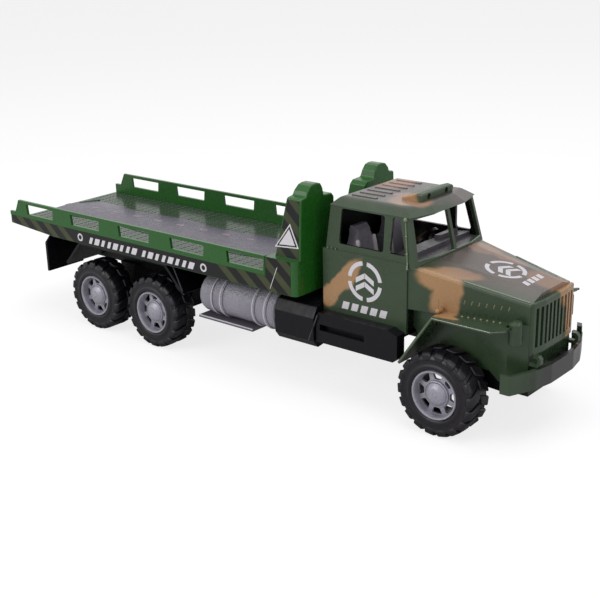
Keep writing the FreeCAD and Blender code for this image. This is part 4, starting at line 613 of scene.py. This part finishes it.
# Each layer of the triangle: its share of the full size, and how far it lies out.
white_back, dark_line, white_top = (1.0, 0.02), (0.84, 0.08), (0.66, 0.14)


def tower_side(x, z, side, lift):
    """A place on a tower's leaning outer side."""
    lean = (z - tower_low) / (tower_high - tower_low)
    return x, side * (tower_foot + (tower_neck - tower_foot) * lean + lift), z


# The plain stretch of these bars lies a metre off, so there is none on a tower.
tower_bars = striped("tower_striped_film", paint(12, 12, 16), paint(58, 66, 38), slope=1.1, pitch=0.0155,
                     plain_from=1.0, plain_to=1.1)
for hand, side in (("right", -1), ("left", 1)):
    form = bmesh.new()
    film_face = outline_face(form, [tower_side(x, z, side, tower_gap) for x, z in tower_outline])
    thicken(form, film_face, (0, side * film, 0))
    piece("tower_film_" + hand, form, "truck", tower_bars)
    form = bmesh.new()
    dark_form = bmesh.new()
    for (share, lift), target in ((white_back, form), (dark_line, dark_form), (white_top, form)):
        corners = [(triangle_middle[0] + (x - triangle_middle[0]) * share,
                    triangle_middle[1] + (z - triangle_middle[1]) * share) for x, z in triangle]
        face = outline_face(target, [tower_side(x, z, side, film + lift) for x, z in corners])
        thicken(target, face, (0, side * triangle_thick, 0))
    piece("tower_triangle_" + hand, form, "truck", white_film)
    piece("tower_triangle_line_" + hand, dark_form, "truck", tower_bars)

# Cab and hood: dark olive plastic mouldings, airbrushed with soft tan patches
# after moulding. A thin plum veil over the tops and the bumper's front is a painted sheen, and the cab's
# inside is painted black as painted shade.
olive_base, tan, unlit = paint(54, 72, 50), paint(180, 139, 98), paint(10, 12, 10)
# Each patch or sheen spot: its middle and radii in millimetres, its turns in degrees.
cab_patches = [
    ((91.5, -38, 77.0), (20.0, 6, 5.4), (0, -50, 0)),
    ((81.0, -38, 65.5), (7.5, 6, 6.2), (0, -48, 0)),
    ((124.5, -15, 126.6), (13.0, 11.5, 3.8), (0, 0, 0)),
    ((116.5, -6, 127.0), (7.5, 6.5, 4.0), (0, 0, 0)),
    ((90.0, 18, 127.0), (14, 17, 5), (0, 0, 0)),
    ((91.5, 38, 77.0), (20.0, 6, 5.4), (0, -50, 0)),
]
# Painted sheen over the cab's roof.
cab_painted_sheen = [
    ((104, 2, 127.5), (44, 32, 4.2), (0, 0, 0)),
    ((133, 18, 125), (13, 18, 5), (0, 0, 0)),
]
hood_patches = [
    ((159.0, -36, 89.5), (14.5, 9, 8.5), (0, 0, 0)),
    ((161.5, -35, 76.0), (9.8, 9, 12.0), (0, 0, 0)),
    ((164.0, -36, 84.0), (8.6, 9, 12.0), (0, 0, 0)),
    ((165.5, -24.5, 93.0), (14.0, 6.0, 7), (0, 0, 18)),
    ((154.5, 19, 95.0), (12, 10, 6), (0, 0, 0)),
    ((173.0, 17, 91.0), (13, 5.5, 8), (0, 0, -8)),
    ((203.0, 7, 86.0), (13.5, 10.5, 6), (0, 0, -25)),
    ((210.0, 17, 74.0), (8, 8, 17), (0, 0, 0)),
    ((166.0, -40, 69.5), (8, 3, 2.2), (0, 0, 0)),
    ((158.5, 36, 86.0), (13, 7, 13), (0, 0, 0)),
    ((198.0, 40, 68.0), (14, 10, 8), (0, 0, 0)),
]
# Painted sheen over the hood's top.
hood_painted_sheen = [((174, 2, 92.5), (52, 30, 6.5), (0, 10, 0))]
grille_patches = [
    ((211.0, 20.5, 66), (8, 8, 24), (0, 0, 0)),
    ((211.0, 14.0, 80), (8, 10, 9), (0, 0, 0)),
]
bumper_patches = [((212.0, 22.0, 49), (8, 5, 7), (0, 0, 0))]
# Painted sheen on the bumper's front, a darker plum.
bumper_painted_sheen = [((221, 16, 40), (13, 42, 18), (0, 0, 0))]
lamp_patches = [((121.0, -15.5, 129), (9, 4.5, 6), (0, 0, 0))]
patch_blur, sheen_blur = 0.2, 0.45
# The cab's inside, painted near-black as painted shade, in metres: where its walls are, and how they
# lean.
waist, wall_lean, wall_offset = 0.0935, 0.088, -0.0082
screen_lean, screen_offset = 0.245, -0.0229
inside_half, inside_rear, inside_front, ceiling = 0.0362, 0.0772, 0.1405, 0.1216


def spots(tree, wander, patches, soft):
    """One mask of soft blobs, one for each patch."""
    mask = None
    for centre, radii, turn in patches:
        spot = add(tree, "Mapping", Vector=wander, Location=at(*centre),
                   Rotation=tuple(math.radians(angle) for angle in turn), Scale=at(*radii))
        spot.vector_type = "TEXTURE"
        far = add(tree, "VectorMath", "LENGTH", _0=spot.outputs[0])
        edge = add(tree, "MapRange", Value=far.outputs["Value"], From_Min=1 + soft, From_Max=1 - soft)
        edge.interpolation_type = "SMOOTHSTEP"
        mask = edge.outputs[0] if mask is None else \
            add(tree, "Math", "MAXIMUM", _0=mask, _1=edge.outputs[0]).outputs[0]
    return mask


def camouflage(name, patches, painted_sheens=(), sheen_tone=(), share=0.6, hidden=None):
    """Olive plastic with soft tan patches, a thin plum veil that is a painted sheen
    and, where a mask is given for it, an inside painted near-black as painted shade."""
    made, tree = material(name)
    place = add(tree, "TexCoord").outputs["Object"]
    ripple = add(tree, "TexNoise", Vector=place, Scale=70.0, Detail=2.0)
    centred = add(tree, "VectorMath", "SUBTRACT", _0=ripple.outputs["Color"], _1=(0.5, 0.5, 0.5))
    drift = add(tree, "VectorMath", "SCALE", _0=centred.outputs[0], Scale=0.008)
    wander = add(tree, "VectorMath", "ADD", _0=place, _1=drift.outputs[0]).outputs[0]
    clouds = add(tree, "TexNoise", Vector=place, Scale=55.0, Detail=5.0)
    dark_green, light_green = shades(olive_base, 0.8, 1.2)
    tone = add(tree, "MixRGB", _0=clouds.outputs[0], _1=dark_green, _2=light_green)
    speckle = add(tree, "TexNoise", Vector=place, Scale=900.0, Detail=2.0)
    dark_tan, light_tan = shades(tan, 0.82, 1.1)
    tan_tone = add(tree, "MixRGB", _0=speckle.outputs[0], _1=dark_tan, _2=light_tan)
    tone = add(tree, "MixRGB", _0=spots(tree, wander, patches, patch_blur), _1=tone.outputs[0],
               _2=tan_tone.outputs[0])
    # A plum tone laid over the sheen spots: painted sheen.
    if painted_sheens:
        sheen_mask = add(tree, "Math", "MULTIPLY", _0=spots(tree, wander, painted_sheens, sheen_blur), _1=share)
        tone = add(tree, "MixRGB", _0=sheen_mask.outputs[0], _1=tone.outputs[0], _2=sheen_tone)
    # The cab's inner walls and ceiling are painted near-black: painted shade.
    if hidden:
        tone = add(tree, "MixRGB", _0=hidden(tree, place), _1=tone.outputs[0], _2=unlit)
    gloss = add(tree, "MapRange", Value=clouds.outputs[0], From_Min=0.3, From_Max=0.7,
                To_Min=0.22, To_Max=0.35)
    skin = add(tree, "TexNoise", Vector=place, Scale=1500.0, Detail=2.0)
    bump = add(tree, "Bump", Height=skin.outputs[0], Strength=0.06, Distance=0.0002)
    shader = add(tree, "BsdfPrincipled", Base_Color=tone.outputs[0], Roughness=gloss.outputs[0],
                 Specular_IOR_Level=0.45, Normal=bump.outputs[0])
    add(tree, "OutputMaterial", Surface=shader.outputs[0])
    return made


def within(tree, value, low, high):
    """1 where a value lies between two limits in metres, else 0."""
    above = add(tree, "Math", "GREATER_THAN", _0=value, _1=low)
    below = add(tree, "Math", "LESS_THAN", _0=value, _1=high)
    return add(tree, "Math", "MULTIPLY", _0=above.outputs[0], _1=below.outputs[0]).outputs[0]


def cab_inside(tree, place):
    """Where the cab's inner walls and ceiling are. They lean in above the waist."""
    axes = add(tree, "SeparateXYZ", Vector=place)
    out = add(tree, "Math", "ABSOLUTE", _0=axes.outputs["Y"])
    rise = add(tree, "Math", "MAXIMUM", _0=axes.outputs["Z"], _1=waist)
    lean = add(tree, "Math", "MULTIPLY_ADD", _0=rise.outputs[0], _1=wall_lean, _2=wall_offset)
    wide = add(tree, "Math", "ADD", _0=out.outputs[0], _1=lean.outputs[0])
    sloped = add(tree, "Math", "MULTIPLY_ADD", _0=rise.outputs[0], _1=screen_lean, _2=screen_offset)
    front = add(tree, "Math", "ADD", _0=axes.outputs["X"], _1=sloped.outputs[0])
    sides = within(tree, wide.outputs[0], -1.0, inside_half)
    ends = within(tree, front.outputs[0], inside_rear, inside_front)
    roof = within(tree, axes.outputs["Z"], 0.0, ceiling)
    both = add(tree, "Math", "MULTIPLY", _0=sides, _1=ends)
    return add(tree, "Math", "MULTIPLY", _0=both.outputs[0], _1=roof).outputs[0]


cab_paint = camouflage("cab_camouflage", cab_patches, cab_painted_sheen, paint(122, 104, 112), 0.55, cab_inside)
dress(cab_paint, "cab_shell")
hood_paint = camouflage("hood_camouflage", hood_patches, hood_painted_sheen, paint(112, 90, 92), 0.6)
dress(hood_paint, "hood_fenders")
grille_paint = camouflage("grille_camouflage", grille_patches)
dress(grille_paint, "radiator_grille")
bumper_paint = camouflage("bumper_camouflage", bumper_patches, bumper_painted_sheen, paint(48, 40, 50), 0.85)
dress(bumper_paint, "front_bumper")
lamp_paint = camouflage("lamp_camouflage", lamp_patches)
dress(lamp_paint, "roof_lamp_box", "headlamp_pod_right", "headlamp_pod_left", "tow_hook_right",
      "tow_hook_left")

# Cab trim: raised details of the cab's plastic moulding, glossier than the rest
# and painted a paler olive, a painted highlight. A hinge rod with small knobs down each front post,
# three rivets at the rear of each door's waist line, and a bead along the foot of the windscreen.
hinge_rod, hinge_rod_round = ((134.6, 34.9, 119.5), (137.6, 37.1, 96.0), (138.0, 38.0, 93.0)), 0.5
hinge_knobs = (((134.5, 35.0, 120.4), 1.5), ((135.7, 35.8, 111.0), 0.8), ((137.0, 36.8, 101.0), 0.9),
               ((138.2, 38.2, 92.6), 0.9))
door_rivets, door_rivet_size = ((79.5, 37.4, 95.3), (82.5, 37.4, 95.3), (85.5, 37.4, 95.3)), 0.55
screen_foot, screen_foot_round = ((142.9, 33.5, 97.0), (146.6, 16.9, 97.0), (146.6, 1.3, 97.0)), 0.4
# Glossy and paler than the olive body: painted highlight.
glossy_painted_highlight = moulded("polished_olive_painted_highlight", paint(96, 112, 84), rough=0.14, shine=0.9, grain=0.02)
form = bmesh.new()
for side in (1, -1):
    bead(form, on_side(hinge_rod, side), hinge_rod_round)
    for (x, y, z), size in hinge_knobs:
        ball(form, (x, side * y, z), size)
    for rivet in on_side(door_rivets, side):
        ball(form, rivet, door_rivet_size)
    bead(form, on_side(screen_foot, side), screen_foot_round)
piece("cab_trim", form, "truck", glossy_painted_highlight)

# Door and hood badges: plain white print, a ring in four arcs round a double
# chevron, over a row of slanted dashes.
badge_thick, door_face, door_badge_radius, hood_badge_radius = 0.08, 38.0, 12.6, 12.2
door_badge_x, door_badge_z, hood_badge_x = 107.8, 79.0, 180.6
door_dashes, first_door_dash, door_dash_pitch, door_dash_z = 5, 93.4, 7.0, 61.2
hood_dashes, first_hood_dash, hood_dash_pitch, hood_dash_x = 4, 7.8, 5.2, 198.2
door_dash_size, hood_dash_size, badge_dash_lean = (4.8, 4.8), (3.6, 4.6), 0.3
# The hood's top falls from the cab's seam to the nose.
hood_seam, hood_top, hood_slope = 138, 97.52, 0.164


def badge(form, middle, radius, flat):
    """Ring in four arcs round a double chevron, sized by the ring's radius."""
    across, along = flat
    ring_inside, arc_from, arc_turn = 0.79, 8, 74
    arm_out, arm_heights, arm_size, arm_run, arm_fall = 0.27, (0.14, -0.28), (0.60, 0.26), 0.86, 0.5
    for number in range(4):
        white_ring(form, middle, radius, radius * ring_inside, flat, badge_thick,
                   first=90 * number + arc_from, arc=arc_turn, steps=16)
    for height in arm_heights:
        for hand in (-1, 1):
            arm = (across * hand * arm_out * radius + along * height * radius) / 1000
            tilt = (across * hand * arm_run - along * arm_fall).normalized()
            white_bar(form, middle + arm, (arm_size[0] * radius, arm_size[1] * radius),
                      (tilt * hand, along), badge_thick)


def on_hood(x, y):
    """A place on the hood's top."""
    return at(x, y, hood_top - hood_slope * (x - hood_seam))


for hand, side in (("right", -1), ("left", 1)):
    form = bmesh.new()
    flat = side_flat(side)
    badge(form, at(door_badge_x, side * door_face, door_badge_z), door_badge_radius, flat)
    for number in range(door_dashes):
        middle = at(first_door_dash + door_dash_pitch * number, side * door_face, door_dash_z)
        white_bar(form, middle, door_dash_size, flat, badge_thick, lean=-badge_dash_lean * side)
    piece("door_badge_" + hand, form, "truck", white_film)
hood_fall = math.atan(hood_slope)
hood_flat = (Vector((0, -1, 0)), Vector((-math.cos(hood_fall), 0, math.sin(hood_fall))))
form = bmesh.new()
badge(form, on_hood(hood_badge_x, 0), hood_badge_radius, hood_flat)
for number in range(hood_dashes):
    white_bar(form, on_hood(hood_dash_x, first_hood_dash - hood_dash_pitch * number), hood_dash_size,
              hood_flat, badge_thick, lean=-badge_dash_lean)
piece("hood_badge", form, "truck", white_film)

# Hood trim: raised details of the hood's plastic moulding. A glossy bead along
# each shoulder crease and round each mudguard's edge, painted paler, and vent pips and rivets
# painted pale: painted highlights. A knob with a stalk on the right mudguard, and a tab at the left of
# the nose.
hood_half, hood_taper = 37, 0.171
crease_places = (171.0, 184.0, 197.0, 209.0)
crease_inset, crease_top, crease_slope, crease_round = 1.8, 95.1, 0.179, 0.55
guard_edge = ((137.7, 45.2, 36.9), (160.0, 45.2, 69.3), (197.8, 45.2, 69.3), (203.5, 39.0, 69.3))
guard_edge_round = 0.42
vents, first_vent, vent_pitch, vent_lean, vent_round = 7, 172.5, 4.3, 0.5, 0.42
vent_foot, vent_top = 76.6, 78.4
rivets, first_rivet, rivet_pitch, rivet_size = 8, 169.8, 3.7, 0.8
rivet_y, rivet_step_in, rivet_z = 35.3, 0.62, 70.1
knob, knob_round = ((159.6, -35.2, 71.6), (159.6, -38.4, 71.6)), 1.5
stalk, stalk_round = ((159.6, -37.8, 71.8), (159.6, -37.8, 78.6)), 0.35
tab_upper = ((208.6, 24.4, 77.2), (208.6, 36.4, 74.3))
tab_lower, tab_round = ((208.6, 24.4, 75.6), (208.6, 33.5, 74.4)), 0.8


def hood_side(x):
    """Half the hood's width at a place along it."""
    return hood_half - hood_taper * (x - hood_seam)


form = bmesh.new()
pips = bmesh.new()
for side in (1, -1):
    bead(form, [(x, side * (hood_side(x) - crease_inset), crease_top - crease_slope * (x - hood_seam))
                for x in crease_places], crease_round)
    bead(form, on_side(guard_edge, side), guard_edge_round)
    for number in range(vents):
        foot = first_vent + vent_pitch * number
        top = foot + vent_lean
        bead(pips, [(foot, side * hood_side(foot), vent_foot), (top, side * hood_side(top), vent_top)],
             vent_round)
    for number in range(rivets):
        out = rivet_y - rivet_step_in * number
        ball(pips, (first_rivet + rivet_pitch * number, side * out, rivet_z), rivet_size)
piece("hood_trim", form, "truck", glossy_painted_highlight)
# The vent pips and rivets are painted pale: painted highlights.
olive_painted_highlight = moulded("pale_olive_painted_highlight", paint(128, 128, 92), rough=0.25, shine=0.5)
piece("hood_pips", pips, "truck", olive_painted_highlight)
form = bmesh.new()
bead(form, knob, knob_round, sides=14)
bead(form, stalk, stalk_round)
piece("hood_knob", form, "truck", hood_paint)
form = bmesh.new()
bead(form, tab_upper, tab_round)
bead(form, tab_lower, tab_round)
piece("nose_tab", form, "truck", hood_paint)

# Radiator core: a black plastic block with upright fins, set behind the grille,
# that shows between the grille's bars.
core_back, core_half, core_foot, core_top, core_thick = 207.35, 22.2, 53.6, 79.4, 0.4
fins, fin_pitch, fin_half, fin_thick = 23, 1.9, 0.45, 0.6
fin_back, fin_foot, fin_top = 207.7, 53.8, 79.2


def upright_slab(form, back, middle, half, foot, top, thick):
    """A slab across the truck, made thick forwards from its back face."""
    face = outline_face(form, [(back, middle - half, foot), (back, middle + half, foot),
                               (back, middle + half, top), (back, middle - half, top)])
    thicken(form, face, (thick, 0, 0))


form = bmesh.new()
upright_slab(form, core_back, 0, core_half, core_foot, core_top, core_thick)
for number in range(fins):
    upright_slab(form, fin_back, fin_pitch * (number - (fins - 1) / 2), fin_half, fin_foot, fin_top,
                 fin_thick)
piece("radiator_core", form, "truck", black)

# Seats and dashboard: grey plastic mouldings, fixed in the cab. Each seat has
# two bolsters down the front of its back, painted much paler as a painted highlight.
seat_middle, bolster_round = 16.7, 1.4
# A bolster's points: along the truck, out from the seat's middle, and height.
bolster = ((97.0, 8.9, 73.5), (94.1, 8.7, 90.0), (92.9, 8.1, 98.2))
seat_grey = moulded("seat_plastic", paint(158, 154, 166), rough=0.3, shine=0.45)
dress(seat_grey, "seat_right", "seat_left")
dash_grey = moulded("dash_plastic", paint(92, 87, 95), rough=0.34, shine=0.4)
dress(dash_grey, "dashboard")
# Bolsters painted near-white: painted highlight.
bolster_painted_highlight = moulded("bolster_painted_highlight_plastic", paint(244, 236, 244), rough=0.28, shine=0.5)
form = bmesh.new()
for side in (1, -1):
    for hand in (-1, 1):
        bead(form, [(x, side * seat_middle + hand * out, z) for x, out, z in bolster], bolster_round,
             sides=16)
piece("seat_bolsters", form, "truck", bolster_painted_highlight)
